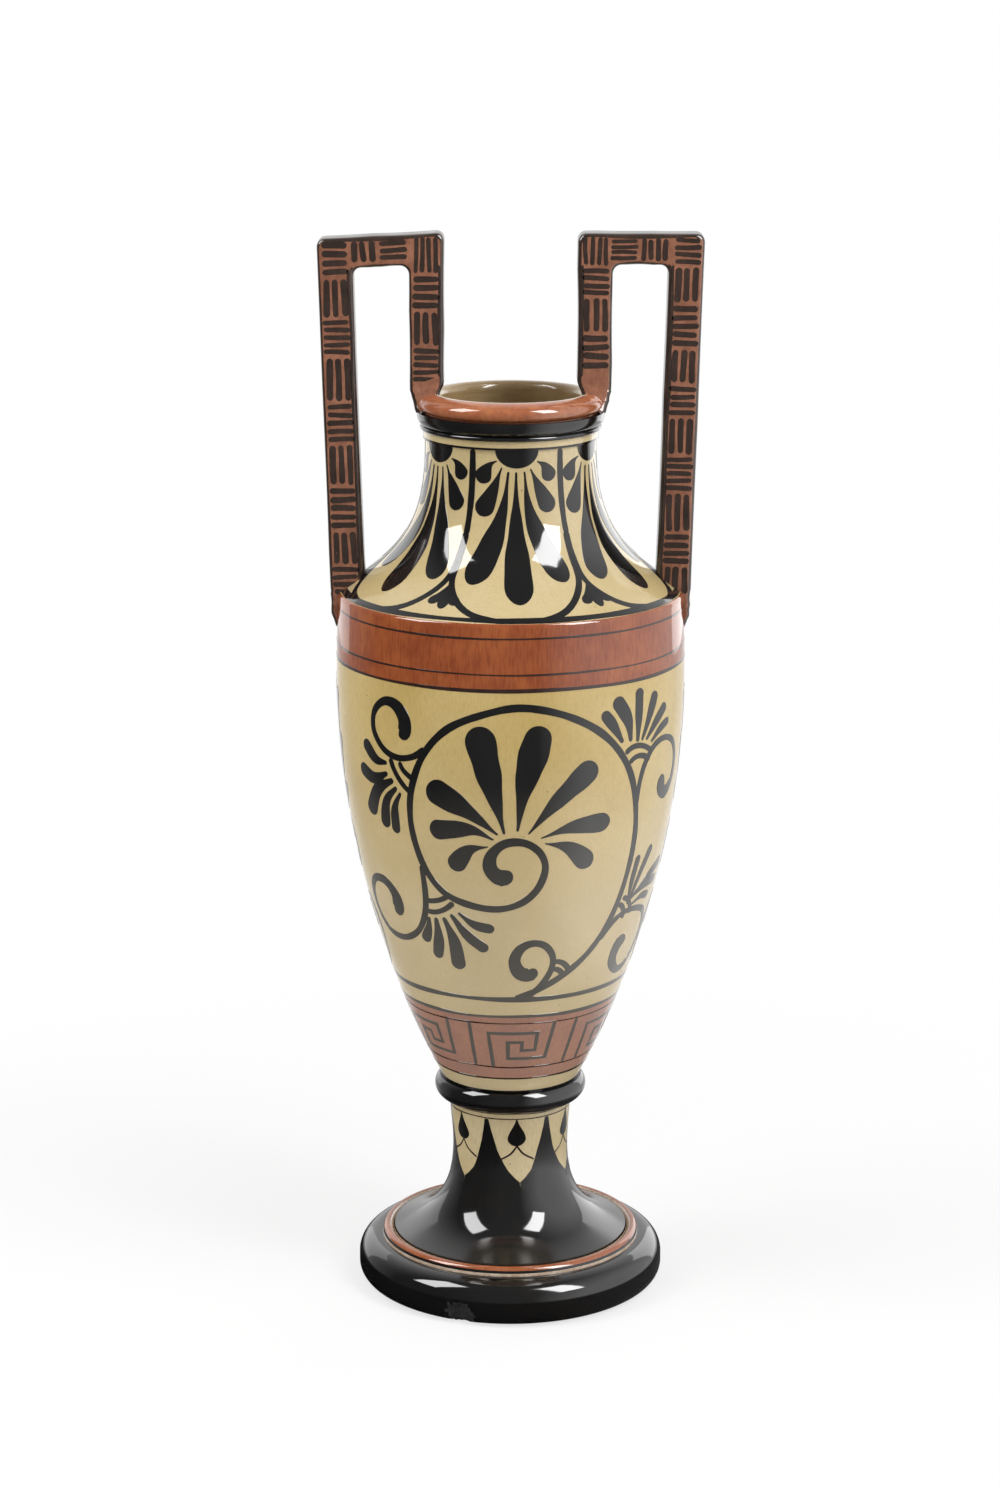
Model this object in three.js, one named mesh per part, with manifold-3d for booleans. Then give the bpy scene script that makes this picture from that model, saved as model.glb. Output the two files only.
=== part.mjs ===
// Tall glazed earthenware vase in the Greek taste, with two square-cornered handles.
// Millimetres, +Z up, origin on the vase's axis at the plane that it stands on.
// The vase is thrown in sections, which are luted together at socket joints, and each
// handle is three clay strips, mitred at the corners and luted to the lip and the shoulder.

import * as THREE from 'three';
import { mergeVertices } from 'three/addons/utils/BufferGeometryUtils.js';
import Module from 'manifold-3d';

const wasm = await Module();
wasm.setup();

// Fineness of the turned pieces and their curves
const turns = 48;
const arcSteps = 5;
const bodySteps = 13;
const bodyTopSteps = 3;
const neckSteps = 11;
const stemTopSteps = 3;
const knopSteps = 8;
const collarSteps = 7;
const beadSteps = 4;
const lipInsideSteps = 3;
const stripEdgeSteps = 2;
const tailSteps = 5;
const weldDistance = 1e-4;
const leastStep = 0.01;

// Clay walls and the luted joints
const wall = 6.5;
const floorThickness = 10;
const jointGap = 0.3;
const handleGap = 0.4;
const collarStep = 1;
const tongueHeight = 5;
const tongueWidth = 3;

// Foot: a rounded plinth with a small bead on its inner edge
const plinthRadius = 72.8;
const plinthHeight = 21.2;
const plinthLowerRound = 7;
const plinthStraight = 4;
const contactWidth = 8;
const beadRadius = 61.5;
const beadWidth = 5.5;
const beadHeight = 4;
const stemSeatDepth = 7.5;
const seatWidth = 7;

// Stem: a flare that rises to a slim waist, then widens a little under the knop
const waistRadius = 27.4;
const waistRise = 41;
const stemTopRadius = 28.9;
const stemTopRise = 24.1;

// Knop: a half-round ring round the joint of the stem and the body
const knopRadius = 36.1;
const knopBulge = 6.6;
const knopHeight = 10.9;
const knopCentreRise = 6.2;

// Body: an egg that swells from the knop to its widest ring, then stands nearly straight
const bodyFootRadius = 32.4;
const bodyRadius = 80.95;
const bodyRise = 195.6;
const bodyTopDraw = 1.1;
const bodyTopRise = 36.8;

// Shoulder and neck: a hollow curve from the shoulder's edge up to a straight neck
const shoulderEdge = 2.8;
const neckRadius = 39.4;
const neckRise = 68.8;
const neckTop = 2.2;

// Collar: a plain ledge and a half-round moulding
const ledgeRadius = 40.3;
const ledgeHeight = 3.8;
const collarRadius = 43.1;
const collarHeight = 8.3;

// Lip: a rounded ring
const lipRadius = 43;
const lipCrestRadius = 35.2;
const mouthRadius = 31.6;
const lipHeight = 8.6;
const lipBulgeRise = 3.9;

// Handles: strips of clay with rounded edges
const stripWidth = 16.3;
const barWidth = 14.3;
const stripDepth = 16;
const stripRound = 2;
const handleRise = 72.6;
const innerLegInset = 2.8;
const outerLegInset = 4.8;
const outerLegSplay = 4.4;
const leftBarDrop = 2;
const rightBarDrop = 0.2;
const tailLength = 18;
const tailTipWidth = 7;

// Inner legs' feet: where each spreads over the lip, from the lip's top, base and mouth
const footSpreadRise = 6;
const footFlareRise = 2;
const footSink = 1;
const footMouthInset = 2;
const footReach = 1.2;
const footToeRise = 1.3;

// Fullness of the free curves, as shares of each curve's own width and height
const flareReach = 0.55;
const flareFootRise = 0.11;
const flareWaistRise = 0.27;
const swellStart = 0.4;
const swellEnd = 0.3;
const bodySpring = 0.43;
const bodySpringRise = 0.2;
const bodyFullness = 0.42;
const shoulderReach = 0.327;
const shoulderReachRise = 0.269;
const neckHollow = 0.42;
const tailFullness = 0.5;
const tailTipFullness = 0.3;
const tailTipBlunt = 0.6;

// Steps and end angles of the curves whose inside follows them
const flareSteps = 9;
const shoulderEdgeSteps = 3;
const shoulderEdgeTurn = 80;
const beadStartTurn = 20;
const lipStartTurn = -35;

// Heights of the joints, from the foot up
const beadTop = plinthHeight + beadHeight;
const stemSeat = beadTop - stemSeatDepth;
const waistHeight = beadTop + waistRise;
const knopBase = waistHeight + stemTopRise;
const bodyBase = knopBase + knopHeight;
const bodyWidest = bodyBase + bodyRise;
const shoulderBase = bodyWidest + bodyTopRise;
const neckBase = shoulderBase + shoulderEdge;
const collarBase = neckBase + neckRise + neckTop;
const mouldingBase = collarBase + ledgeHeight;
const lipBase = mouldingBase + collarHeight;
const lipTop = lipBase + lipHeight;
const handleTop = lipTop + handleRise;

// Radii that follow other pieces and the walls
const bodyTopRadius = bodyRadius - bodyTopDraw;
const stemBore = waistRadius - wall;
const spigotRadius = stemBore + tongueWidth;
const neckBore = neckRadius - wall;
const collarBore = neckBore - collarStep;
const bodyMouth = bodyTopRadius - wall;

const black = new THREE.MeshStandardMaterial({ color: 0x1b1b1d, roughness: 0.12, metalness: 0 });
const cream = new THREE.MeshStandardMaterial({ color: 0xd6c48d, roughness: 0.14, metalness: 0 });
const terracotta = new THREE.MeshStandardMaterial({ color: 0xa55032, roughness: 0.16, metalness: 0 });

const group = new THREE.Group();

// A point of a profile: radius from the axis, height above the table
function at(radius, height) {
  return new THREE.Vector2(radius, height);
}

// Points of a cubic curve between two ends with two handles
function sweep(start, startHandle, endHandle, end, steps) {
  return new THREE.CubicBezierCurve(start, startHandle, endHandle, end).getPoints(steps);
}

// Points of an elliptical arc, with angles in degrees from the outward direction
function arc(centre, width, height, from, to, steps = arcSteps) {
  const points = [];
  for (let i = 0; i <= steps; i += 1) {
    const angle = THREE.MathUtils.degToRad(from + ((to - from) * i) / steps);
    points.push(at(centre.x + width * Math.cos(angle), centre.y + height * Math.sin(angle)));
  }
  return points;
}

// The line moved sideways by a distance, to its right when it is walked from start to end
function offset(points, distance) {
  return points.map((point, i) => {
    const before = points[Math.max(i - 1, 0)];
    const after = points[Math.min(i + 1, points.length - 1)];
    const along = after.clone().sub(before).normalize();
    return at(point.x + along.y * distance, point.y - along.x * distance);
  });
}

// Leaves out points that repeat the one before them
function distinct(points) {
  return points.filter((point, i) => i === 0 || point.distanceTo(points[i - 1]) > leastStep);
}

// A closed geometry with shared vertices and only positions
function weld(geometry) {
  const bare = geometry.clone();
  bare.deleteAttribute('normal');
  bare.deleteAttribute('uv');
  return mergeVertices(bare, weldDistance);
}

// Turns a closed outline, walked anticlockwise in radius and height, about the vertical axis
function revolve(outline) {
  const points = distinct(outline);
  const onAxis = points[0].x === 0 && points[points.length - 1].x === 0;
  if (!onAxis) {
    points.push(points[0].clone());
  }
  const geometry = new THREE.LatheGeometry(points, turns);
  geometry.rotateX(Math.PI / 2);
  return weld(geometry);
}

// A solid for joining and cutting
function solid(geometry) {
  const welded = weld(geometry);
  const mesh = new wasm.Mesh({
    numProp: 3,
    vertProperties: new Float32Array(welded.attributes.position.array),
    triVerts: new Uint32Array(welded.index.array),
  });
  return new wasm.Manifold(mesh);
}

// The geometry of a solid that was cut
function geometryOf(cut) {
  const mesh = cut.getMesh();
  const geometry = new THREE.BufferGeometry();
  const positions = new Float32Array(mesh.vertProperties);
  const corners = new Uint32Array(mesh.triVerts);
  geometry.setAttribute('position', new THREE.BufferAttribute(positions, 3));
  geometry.setIndex(new THREE.BufferAttribute(corners, 1));
  return geometry;
}

// Adds a named piece to the vase
function addPiece(name, geometry, material) {
  const mesh = new THREE.Mesh(geometry, material);
  mesh.name = name;
  group.add(mesh);
}

// Outer outlines of the sections, walked upwards

function plinthOutline() {
  const sideTop = plinthLowerRound + plinthStraight;
  const crown = plinthHeight - sideTop;
  const lowerCentre = at(plinthRadius - plinthLowerRound, plinthLowerRound);
  const lower = arc(lowerCentre, plinthLowerRound, plinthLowerRound, -90, 0);
  const upper = arc(at(beadRadius, sideTop), plinthRadius - beadRadius, crown, 0, 90, arcSteps + 1);
  const beadCentre = at(beadRadius - beadWidth / 2, plinthHeight);
  const bead = arc(beadCentre, beadWidth / 2, beadHeight, beadStartTurn, 90, beadSteps);
  return [...lower, ...upper, ...bead];
}

function stemOutline() {
  const rim = at(beadRadius - beadWidth - jointGap, beadTop);
  const spread = rim.x - waistRadius;
  const flare = sweep(
    rim,
    at(waistRadius + flareReach * spread, beadTop + flareFootRise * waistRise),
    at(waistRadius, beadTop + flareWaistRise * waistRise),
    at(waistRadius, waistHeight),
    flareSteps,
  );
  const swell = sweep(
    at(waistRadius, waistHeight),
    at(waistRadius, waistHeight + swellStart * stemTopRise),
    at(stemTopRadius, knopBase - swellEnd * stemTopRise),
    at(stemTopRadius, knopBase),
    stemTopSteps,
  );
  return [...flare, ...swell];
}

function bodyOutline() {
  const swell = bodyRadius - bodyFootRadius;
  const lower = sweep(
    at(bodyFootRadius, bodyBase),
    at(bodyFootRadius + bodySpring * swell, bodyBase + bodySpringRise * bodyRise),
    at(bodyRadius, bodyWidest - bodyFullness * bodyRise),
    at(bodyRadius, bodyWidest),
    bodySteps,
  );
  const upper = sweep(
    at(bodyRadius, bodyWidest),
    at(bodyRadius, bodyWidest + bodyTopRise / 3),
    at(bodyRadius - bodyTopDraw / 2, bodyWidest + (2 * bodyTopRise) / 3),
    at(bodyTopRadius, shoulderBase),
    bodyTopSteps,
  );
  return [...lower, ...upper];
}

function shoulderOutline() {
  const inset = shoulderEdge / 2;
  const slope = bodyTopRadius - inset - neckRadius;
  const edgeCentre = at(bodyTopRadius - inset, shoulderBase);
  const edge = arc(edgeCentre, inset, shoulderEdge, 0, shoulderEdgeTurn, shoulderEdgeSteps);
  const hollow = sweep(
    at(bodyTopRadius - inset, neckBase),
    at(neckRadius + shoulderReach * slope, neckBase + shoulderReachRise * neckRise),
    at(neckRadius, neckBase + neckHollow * neckRise),
    at(neckRadius, neckBase + neckRise),
    neckSteps,
  );
  return [...edge, ...hollow, at(neckRadius, collarBase)];
}

function lipOutline() {
  const bulge = lipRadius - lipCrestRadius;
  const crest = lipHeight - lipBulgeRise;
  const sideCentre = at(lipCrestRadius, lipBase + lipBulgeRise);
  const side = arc(sideCentre, bulge, crest, lipStartTurn, 90, arcSteps + 1);
  const round = lipCrestRadius - mouthRadius;
  const inside = arc(at(lipCrestRadius, lipTop - round), round, round, 90, 180, lipInsideSteps);
  return [...side, ...inside];
}

// Turned sections

function footPlinth() {
  const rebate = beadRadius - beadWidth;
  const ledge = rebate - seatWidth;
  const outer = plinthOutline();
  return revolve([
    at(plinthRadius - plinthLowerRound - contactWidth, 0),
    ...outer,
    at(rebate, beadTop),
    at(rebate, stemSeat),
    at(ledge, stemSeat),
    at(ledge, stemSeat - tongueWidth),
  ]);
}

function pedestalStem() {
  const skirt = beadRadius - beadWidth - jointGap;
  const outer = stemOutline();
  const flare = outer.slice(0, flareSteps + 1);
  const flareInside = offset(flare, -wall).filter((p) => p.y > stemSeat + wall / 2);
  return revolve([
    at(skirt - wall, stemSeat),
    at(skirt, stemSeat),
    ...outer,
    at(spigotRadius, knopBase),
    at(spigotRadius, bodyBase),
    at(stemBore, bodyBase),
    ...flareInside.reverse().map((p) => at(Math.max(p.x, stemBore), p.y)),
  ]);
}

function knopRing() {
  const centre = at(knopRadius - knopBulge, knopBase + knopCentreRise);
  const topAngle = THREE.MathUtils.radToDeg(Math.asin((knopHeight - knopCentreRise) / knopCentreRise));
  const bore = spigotRadius + jointGap;
  return revolve([
    at(bore, knopBase),
    ...arc(centre, knopBulge, knopCentreRise, -90, topAngle, knopSteps),
    at(bore, bodyBase),
  ]);
}

function bodyBelly() {
  const outer = bodyOutline();
  const floorTop = bodyBase + floorThickness;
  const low = floorTop + wall;
  const high = shoulderBase - wall;
  const inner = offset(outer, -wall).filter((p) => p.y > low && p.y < high);
  return revolve([
    at(0, bodyBase),
    ...outer,
    at(bodyMouth, shoulderBase),
    ...inner.reverse(),
    at(inner[inner.length - 1].x - wall, floorTop),
    at(0, floorTop),
  ]);
}

function shoulderNeck() {
  const outer = shoulderOutline();
  const spigot = bodyMouth - jointGap;
  const hollow = offset(outer.slice(shoulderEdgeSteps + 1), -wall);
  const inner = hollow.filter((p) => p.x < spigot - wall && p.y < collarBase - jointGap);
  return revolve([
    at(spigot, shoulderBase),
    ...outer,
    at(neckBore + tongueWidth, collarBase),
    at(neckBore + tongueWidth, collarBase + tongueHeight),
    at(neckBore, collarBase + tongueHeight),
    ...inner.reverse().map((p) => at(Math.max(p.x, neckBore), p.y)),
    at(spigot - wall, shoulderBase - tongueHeight),
    at(spigot, shoulderBase - tongueHeight),
  ]);
}

function collarRing() {
  const recess = neckBore + tongueWidth + jointGap;
  const lipRecess = collarBore + tongueWidth;
  const bulge = collarRadius - ledgeRadius;
  const centre = at(ledgeRadius, mouldingBase + collarHeight / 2);
  const moulding = arc(centre, bulge, collarHeight / 2, -90, 90, collarSteps);
  return revolve([
    at(recess, collarBase),
    at(ledgeRadius, collarBase),
    ...moulding,
    at(lipRecess, lipBase),
    at(lipRecess, lipBase - tongueHeight / 2 - jointGap),
    at(collarBore, lipBase - tongueHeight / 2 - jointGap),
    at(collarBore, collarBase + tongueHeight + jointGap),
    at(recess, collarBase + tongueHeight + jointGap),
  ]);
}

function mouthLip() {
  const tongue = collarBore + tongueWidth - jointGap;
  const outer = lipOutline();
  return revolve([
    at(tongue, lipBase),
    at(outer[0].x, lipBase),
    ...outer,
    at(mouthRadius, lipBase - tongueHeight / 2),
    at(tongue, lipBase - tongueHeight / 2),
  ]);
}

// Handles

// A straight strip between two points seen from the front, run on past both ends
function strip(from, to, width) {
  const runOn = stripWidth + tailLength;
  const along = to.clone().sub(from).normalize();
  const start = from.clone().addScaledVector(along, -runOn);
  const length = from.distanceTo(to) + 2 * runOn;
  const halfWidth = width / 2;
  const halfDepth = stripDepth / 2;
  const corners = [[1, 1, 0], [-1, 1, 90], [-1, -1, 180], [1, -1, 270]];
  const section = corners.flatMap(([across, deep, turn]) => {
    const centre = at(across * (halfWidth - stripRound), deep * (halfDepth - stripRound));
    return arc(centre, stripRound, stripRound, turn, turn + 90, stripEdgeSteps);
  });
  const shape = new THREE.Shape(section);
  const geometry = new THREE.ExtrudeGeometry(shape, { depth: length, bevelEnabled: false });
  const frame = new THREE.Matrix4().makeBasis(
    new THREE.Vector3(along.y, 0, -along.x),
    new THREE.Vector3(0, 1, 0),
    new THREE.Vector3(along.x, 0, along.y),
  );
  geometry.applyMatrix4(frame);
  geometry.translate(start.x, 0, start.y);
  return solid(geometry);
}

// A block that cuts away all that lies behind a plane seen edge-on from the front
function cutter(corner, keepSide) {
  const size = 4 * stripWidth;
  const geometry = new THREE.BoxGeometry(size, size, size);
  geometry.rotateY(-Math.atan2(keepSide.y, keepSide.x));
  const back = size / 2 - jointGap / 2;
  geometry.translate(corner.x - keepSide.x * back, 0, corner.y - keepSide.y * back);
  return solid(geometry);
}

// The block that mitres one strip against the next at a corner: the seam runs from the corner that the
// strips' outer edges make to the corner that their inner edges make
function mitre(corner, own, other) {
  const ownWay = own.end.clone().sub(corner).normalize();
  const otherWay = other.end.clone().sub(corner).normalize();
  const seam = ownWay.clone().multiplyScalar(other.width).addScaledVector(otherWay, own.width);
  seam.normalize();
  return cutter(corner, ownWay.addScaledVector(seam, -ownWay.dot(seam)).normalize());
}

// A flat plate with an outline seen from the front, as deep as the strips and more
function frontPlate(points) {
  const shape = new THREE.Shape(points);
  const geometry = new THREE.ExtrudeGeometry(shape, { depth: 2 * stripDepth, bevelEnabled: false });
  geometry.rotateX(Math.PI / 2);
  geometry.translate(0, stripDepth, 0);
  return solid(geometry);
}

// The outer leg's outline seen from the side: straight, then drawn in to a blunt tail
function tailPlate(reach) {
  const half = stripDepth;
  const pressed = stripDepth / 2;
  const tip = tailTipWidth / 2;
  const tipHeight = shoulderBase - tailLength;
  const edge = sweep(
    at(pressed, shoulderBase),
    at(pressed, shoulderBase - tailFullness * tailLength),
    at(tip, tipHeight + tailTipFullness * tailLength),
    at(tip * tailTipBlunt, tipHeight),
    tailSteps,
  );
  const leftEdge = edge.map((p) => at(-p.x, p.y));
  const rightEdge = edge.slice().reverse();
  const top = handleTop + stripWidth;
  const shape = new THREE.Shape([
    at(half, top), at(-half, top), at(-half, neckBase), ...leftEdge, ...rightEdge, at(half, neckBase),
  ]);
  const geometry = new THREE.ExtrudeGeometry(shape, { depth: reach, bevelEnabled: false });
  geometry.rotateX(Math.PI / 2);
  geometry.rotateZ(Math.PI / 2);
  return geometry;
}

// The vase's outside round the outer leg's foot, swollen by the joint's gap
function shoulderEnvelope() {
  const body = bodyOutline().filter((p) => p.y > bodyWidest - jointGap);
  const skin = offset([...body, ...shoulderOutline()], handleGap);
  return solid(revolve([at(0, skin[0].y), ...skin, at(0, skin[skin.length - 1].y)]));
}

// The lip, swollen by the joint's gap
function lipEnvelope() {
  const skin = offset(lipOutline(), handleGap);
  const low = lipBase - jointGap;
  return solid(revolve([at(mouthRadius - jointGap, low), at(skin[0].x, low), ...skin]));
}

// The three strips of one handle; side is 1 on the right and -1 on the left
function addHandle(prefix, side, barDrop) {
  const innerX = side * (lipCrestRadius + innerLegInset);
  const footX = side * (bodyTopRadius - outerLegInset);
  const half = stripWidth / 2;
  const barHeight = handleTop - barWidth / 2;
  const innerTop = at(innerX, barHeight);
  const outerTop = at(footX + side * outerLegSplay, barHeight - barDrop);
  const innerFoot = at(innerX, lipBase);
  const outerFoot = at(footX, shoulderBase);
  const toInnerFoot = { end: innerFoot, width: stripWidth };
  const toOuterFoot = { end: outerFoot, width: stripWidth };
  const toInnerTop = { end: innerTop, width: barWidth };
  const toOuterTop = { end: outerTop, width: barWidth };

  const leg = strip(innerTop, innerFoot, stripWidth)
    .subtract(mitre(innerTop, toInnerFoot, toOuterTop));
  const inward = innerX - side * half;
  const outward = innerX + side * half;
  const footOutline = [
    at(inward, handleTop + half),
    at(inward, lipTop + footSpreadRise),
    at(side * (mouthRadius + footMouthInset), lipTop - footSink),
    at(side * (lipRadius + footReach), lipBase + footToeRise),
    at(outward, lipTop + footFlareRise),
    at(outward, handleTop + half),
  ];
  const trimmed = leg.intersect(frontPlate(side > 0 ? footOutline : footOutline.reverse()));
  addPiece(`${prefix}_inner_leg`, geometryOf(trimmed.subtract(lipEnvelope())), terracotta);

  const bar = strip(innerTop, outerTop, barWidth)
    .subtract(mitre(innerTop, toOuterTop, toInnerFoot))
    .subtract(mitre(outerTop, toInnerTop, toOuterFoot));
  addPiece(`${prefix}_top_bar`, geometryOf(bar), terracotta);

  const reach = 2 * (bodyTopRadius + stripWidth);
  const tail = tailPlate(reach);
  tail.translate(-reach / 2, 0, 0);
  const outerLeg = strip(outerTop, outerFoot, stripWidth)
    .subtract(mitre(outerTop, toOuterFoot, toInnerTop))
    .intersect(solid(tail))
    .subtract(shoulderEnvelope());
  addPiece(`${prefix}_outer_leg`, geometryOf(outerLeg), terracotta);
}

addPiece('foot_plinth', footPlinth(), black);
addPiece('pedestal_stem', pedestalStem(), black);
addPiece('knop_ring', knopRing(), black);
addPiece('body_belly', bodyBelly(), cream);
addPiece('shoulder_neck', shoulderNeck(), cream);
addPiece('collar_ring', collarRing(), black);
addPiece('mouth_lip', mouthLip(), terracotta);
addHandle('left_handle', -1, leftBarDrop);
addHandle('right_handle', 1, rightBarDrop);

export default group;
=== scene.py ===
"""Tall glazed earthenware vase in the Greek taste, dressed for a photograph.

The vase is thrown in sections, its handles are built from clay strips, and the slip painting is laid on
as thin raised brushwork. Classes hold their sizes in millimetres and fractions of a turn in degrees;
a mesh is turned to metres where it is made. Angles run from the front (-Y) towards the right (+X).
"""

import logging
import math
from collections.abc import Callable, Iterable, Sequence
from dataclasses import dataclass, field, replace
from enum import Enum
from typing import Protocol

import bpy
import numpy as np
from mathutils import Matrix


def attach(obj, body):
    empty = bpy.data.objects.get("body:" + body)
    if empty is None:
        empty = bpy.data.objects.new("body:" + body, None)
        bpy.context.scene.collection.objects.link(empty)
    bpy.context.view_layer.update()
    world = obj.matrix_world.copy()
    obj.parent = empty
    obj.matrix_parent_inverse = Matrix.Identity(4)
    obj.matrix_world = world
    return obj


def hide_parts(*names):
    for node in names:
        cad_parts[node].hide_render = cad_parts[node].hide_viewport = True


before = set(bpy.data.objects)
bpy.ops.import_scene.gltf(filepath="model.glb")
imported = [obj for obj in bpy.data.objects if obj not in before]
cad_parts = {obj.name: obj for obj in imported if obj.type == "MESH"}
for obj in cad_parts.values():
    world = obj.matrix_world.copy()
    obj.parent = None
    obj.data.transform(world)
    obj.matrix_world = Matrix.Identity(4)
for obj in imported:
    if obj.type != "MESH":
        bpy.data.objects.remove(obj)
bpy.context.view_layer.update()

Array = np.ndarray
Point = tuple[float, float]
Ramp = tuple[float, float, float, float]
Tree = bpy.types.NodeTree
Socket = bpy.types.NodeSocket

log = logging.getLogger("vase")

MM = 0.001                  # metres in a millimetre
SLIP = 0.15                 # the skins lie this far inside the construction, which leaves room for paint
PAINT_RISE = 0.1            # how far dried slip stands proud of the wall, mm
PAINT_SINK = 0.12           # how far a stroke's underside reaches into the wall, mm
PAINT_EDGE = 0.12           # width of a stroke's steep edge, mm
COLUMNS = 360               # columns round a thrown skin
SHARP_EDGE = math.radians(38.0)


# Curves


def bezier(start: Point, start_pull: Point, end_pull: Point, end: Point, steps: int) -> Array:
    """Samples a cubic curve.

    The point at t is the sum of the four corners weighted by the cubic Bernstein polynomials of t.

    Args:
        start: First end of the curve.
        start_pull: Where the first end heads for.
        end_pull: Where the last end comes from.
        end: Last end of the curve.
        steps: Number of steps between the ends.

    Returns:
        The points, one row each.
    """
    t = np.linspace(0.0, 1.0, steps + 1)[:, None]
    corners = np.array([start, start_pull, end_pull, end], float)
    weights = np.hstack([(1 - t) ** 3, 3 * t * (1 - t) ** 2, 3 * t**2 * (1 - t), t**3])
    return weights @ corners


def arc(centre: Point, width: float, height: float, start: float, end: float, steps: int = 10) -> Array:
    """Samples an elliptical arc: centre + (width cos a, height sin a).

    Args:
        centre: Middle of the ellipse.
        width: Half width.
        height: Half height.
        start: First angle, in degrees from the outward direction.
        end: Last angle, in degrees.
        steps: Number of steps between the ends.

    Returns:
        The points, one row each.
    """
    a = np.radians(np.linspace(start, end, steps + 1))
    return np.array(centre, float) + np.column_stack([width * np.cos(a), height * np.sin(a)])


def line(*corners: Point) -> Array:
    """Returns the corners of an outline as rows of an array."""
    return np.array(corners, float)


def inward(points: Array, distance: float) -> Array:
    """Moves an upward-walked outline sideways, towards the axis.

    Each point moves by the distance along the left-hand normal of its chord to both neighbours.
    """
    along = np.gradient(points, axis=0)
    along /= np.linalg.norm(along, axis=1, keepdims=True)
    return points + distance * np.column_stack([-along[:, 1], along[:, 0]])


def flowing(points: Array, step: float, scale: float) -> Array:
    """Draws a smooth line through given points with even steps.

    Catmull-Rom: between two points the tangent at each is half the chord of its neighbours.

    Args:
        points: Angle in degrees and height in mm, one row each.
        step: Length of a step, mm.
        scale: Millimetres of wall for one degree of turn.

    Returns:
        Angle and height of each point on the line.
    """
    flat = points * [scale, 1.0]
    before = np.vstack([2 * flat[0] - flat[1], flat, 2 * flat[-1] - flat[-2]])
    tangent = (before[2:] - before[:-2]) / 2
    t = np.linspace(0, 1, 17)[None, :-1, None]
    a, b = flat[:-1, None], flat[1:, None]
    ta, tb = tangent[:-1, None], tangent[1:, None]
    curve = (2 * t**3 - 3 * t**2 + 1) * a + (t**3 - 2 * t**2 + t) * ta
    curve = curve + (3 * t**2 - 2 * t**3) * b + (t**3 - t**2) * tb
    curve = np.vstack([curve.reshape(-1, 2), flat[-1]])
    return even(curve, step) / [scale, 1.0]


def bow(start: Point, middle: Point, end: Point) -> tuple[Point, ...]:
    """Picks five places on the parabola that runs from a start through a middle to an end.

    The place at t is start + t (end - start) + 4 t (1 - t) (middle - (start + end) / 2).
    """
    t = np.linspace(0, 1, 5)[:, None]
    a, m, b = (np.array(place, float) for place in (start, middle, end))
    return tuple(map(tuple, a + t * (b - a) + 4 * t * (1 - t) * (m - (a + b) / 2)))


def about(angle: float, *places: Point) -> tuple[Point, ...]:
    """Moves places by an angle round the vase."""
    return tuple((angle + place, height) for place, height in places)


def even(points: Array, step: float) -> Array:
    """Resamples a line to even steps no longer than the given one, keeping its ends."""
    length = np.concatenate([[0], np.cumsum(np.linalg.norm(np.diff(points, axis=0), axis=1))])
    count = max(int(math.ceil(length[-1] / step)), 2)
    at = np.linspace(0, length[-1], count + 1)
    return np.column_stack([np.interp(at, length, points[:, k]) for k in (0, 1)])


def angular(points: Array, step: float, scale: float) -> Array:
    """Subdivides a line of straight strokes and keeps its corners.

    Args:
        points: Angle in degrees and height in mm, one row each.
        step: Longest piece, mm.
        scale: Millimetres of wall for one degree of turn.

    Returns:
        The corners with even points between them.
    """
    flat = points * [scale, 1.0]
    legs = [even(np.vstack(pair), step)[:-1] for pair in zip(flat[:-1], flat[1:])]
    return np.vstack([*legs, flat[-1:]]) / [scale, 1.0]


def wobble(at: Array, seed: int, size: float) -> Array:
    """A hand's unsteadiness round the vase: four sine waves of seeded phase, closed after a turn.

    Args:
        at: Angles in degrees.
        seed: Number that fixes the phases.
        size: Greatest drift.

    Returns:
        The drift at each angle.
    """
    rng = np.random.default_rng(seed)
    waves = np.arange(2, 10, 2)
    phases = rng.uniform(0, 2 * np.pi, len(waves))
    turns = np.radians(np.asarray(at, float))[..., None] * waves + phases
    return size * np.sin(turns).mean(axis=-1)


# Surfaces that take paint


class Ground(Protocol):
    """A surface that is addressed by two coordinates."""

    def point(self, places: Array) -> Array:
        """Gives the points of places on the surface."""

    def normal(self, places: Array) -> Array:
        """Gives the outward directions at places on the surface."""

    def place(self, points: Array) -> Array:
        """Gives the places nearest to points in space."""

    def scale(self, places: Array) -> float:
        """Gives the millimetres for one unit of the first coordinate."""


@dataclass(frozen=True)
class ThrownWall:
    """The outside of a thrown section: one radius for each height.

    A place is (angle in degrees, height in mm), and its point is (r sin a, -r cos a, h).
    """

    outline: Array

    def radius(self, height: Array) -> Array:
        """Reads the radius at a height from the outline."""
        return np.interp(height, self.outline[:, 1], self.outline[:, 0])

    def point(self, places: Array) -> Array:
        """Gives the points of places: (r sin a, -r cos a, h)."""
        a, h = np.radians(places[..., 0]), places[..., 1]
        r = self.radius(h)
        return np.stack([r * np.sin(a), -r * np.cos(a), h], axis=-1)

    def normal(self, places: Array) -> Array:
        """Gives outward directions: the radial direction tipped by the wall's slope."""
        a, h = np.radians(places[..., 0]), places[..., 1]
        reach = 0.6
        lean = (self.radius(h + reach) - self.radius(h - reach)) / (2 * reach)
        out = np.stack([np.sin(a), -np.cos(a), -lean], axis=-1)
        return out / np.linalg.norm(out, axis=-1, keepdims=True)

    def place(self, points: Array) -> Array:
        """Gives the angle and height of points."""
        angle = np.degrees(np.arctan2(points[..., 0], -points[..., 1]))
        return np.stack([angle, points[..., 2]], axis=-1)

    def scale(self, places: Array) -> float:
        """Gives the millimetres of wall for one degree at the places' mean height."""
        return float(self.radius(places[:, 1].mean())) * math.pi / 180


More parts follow.
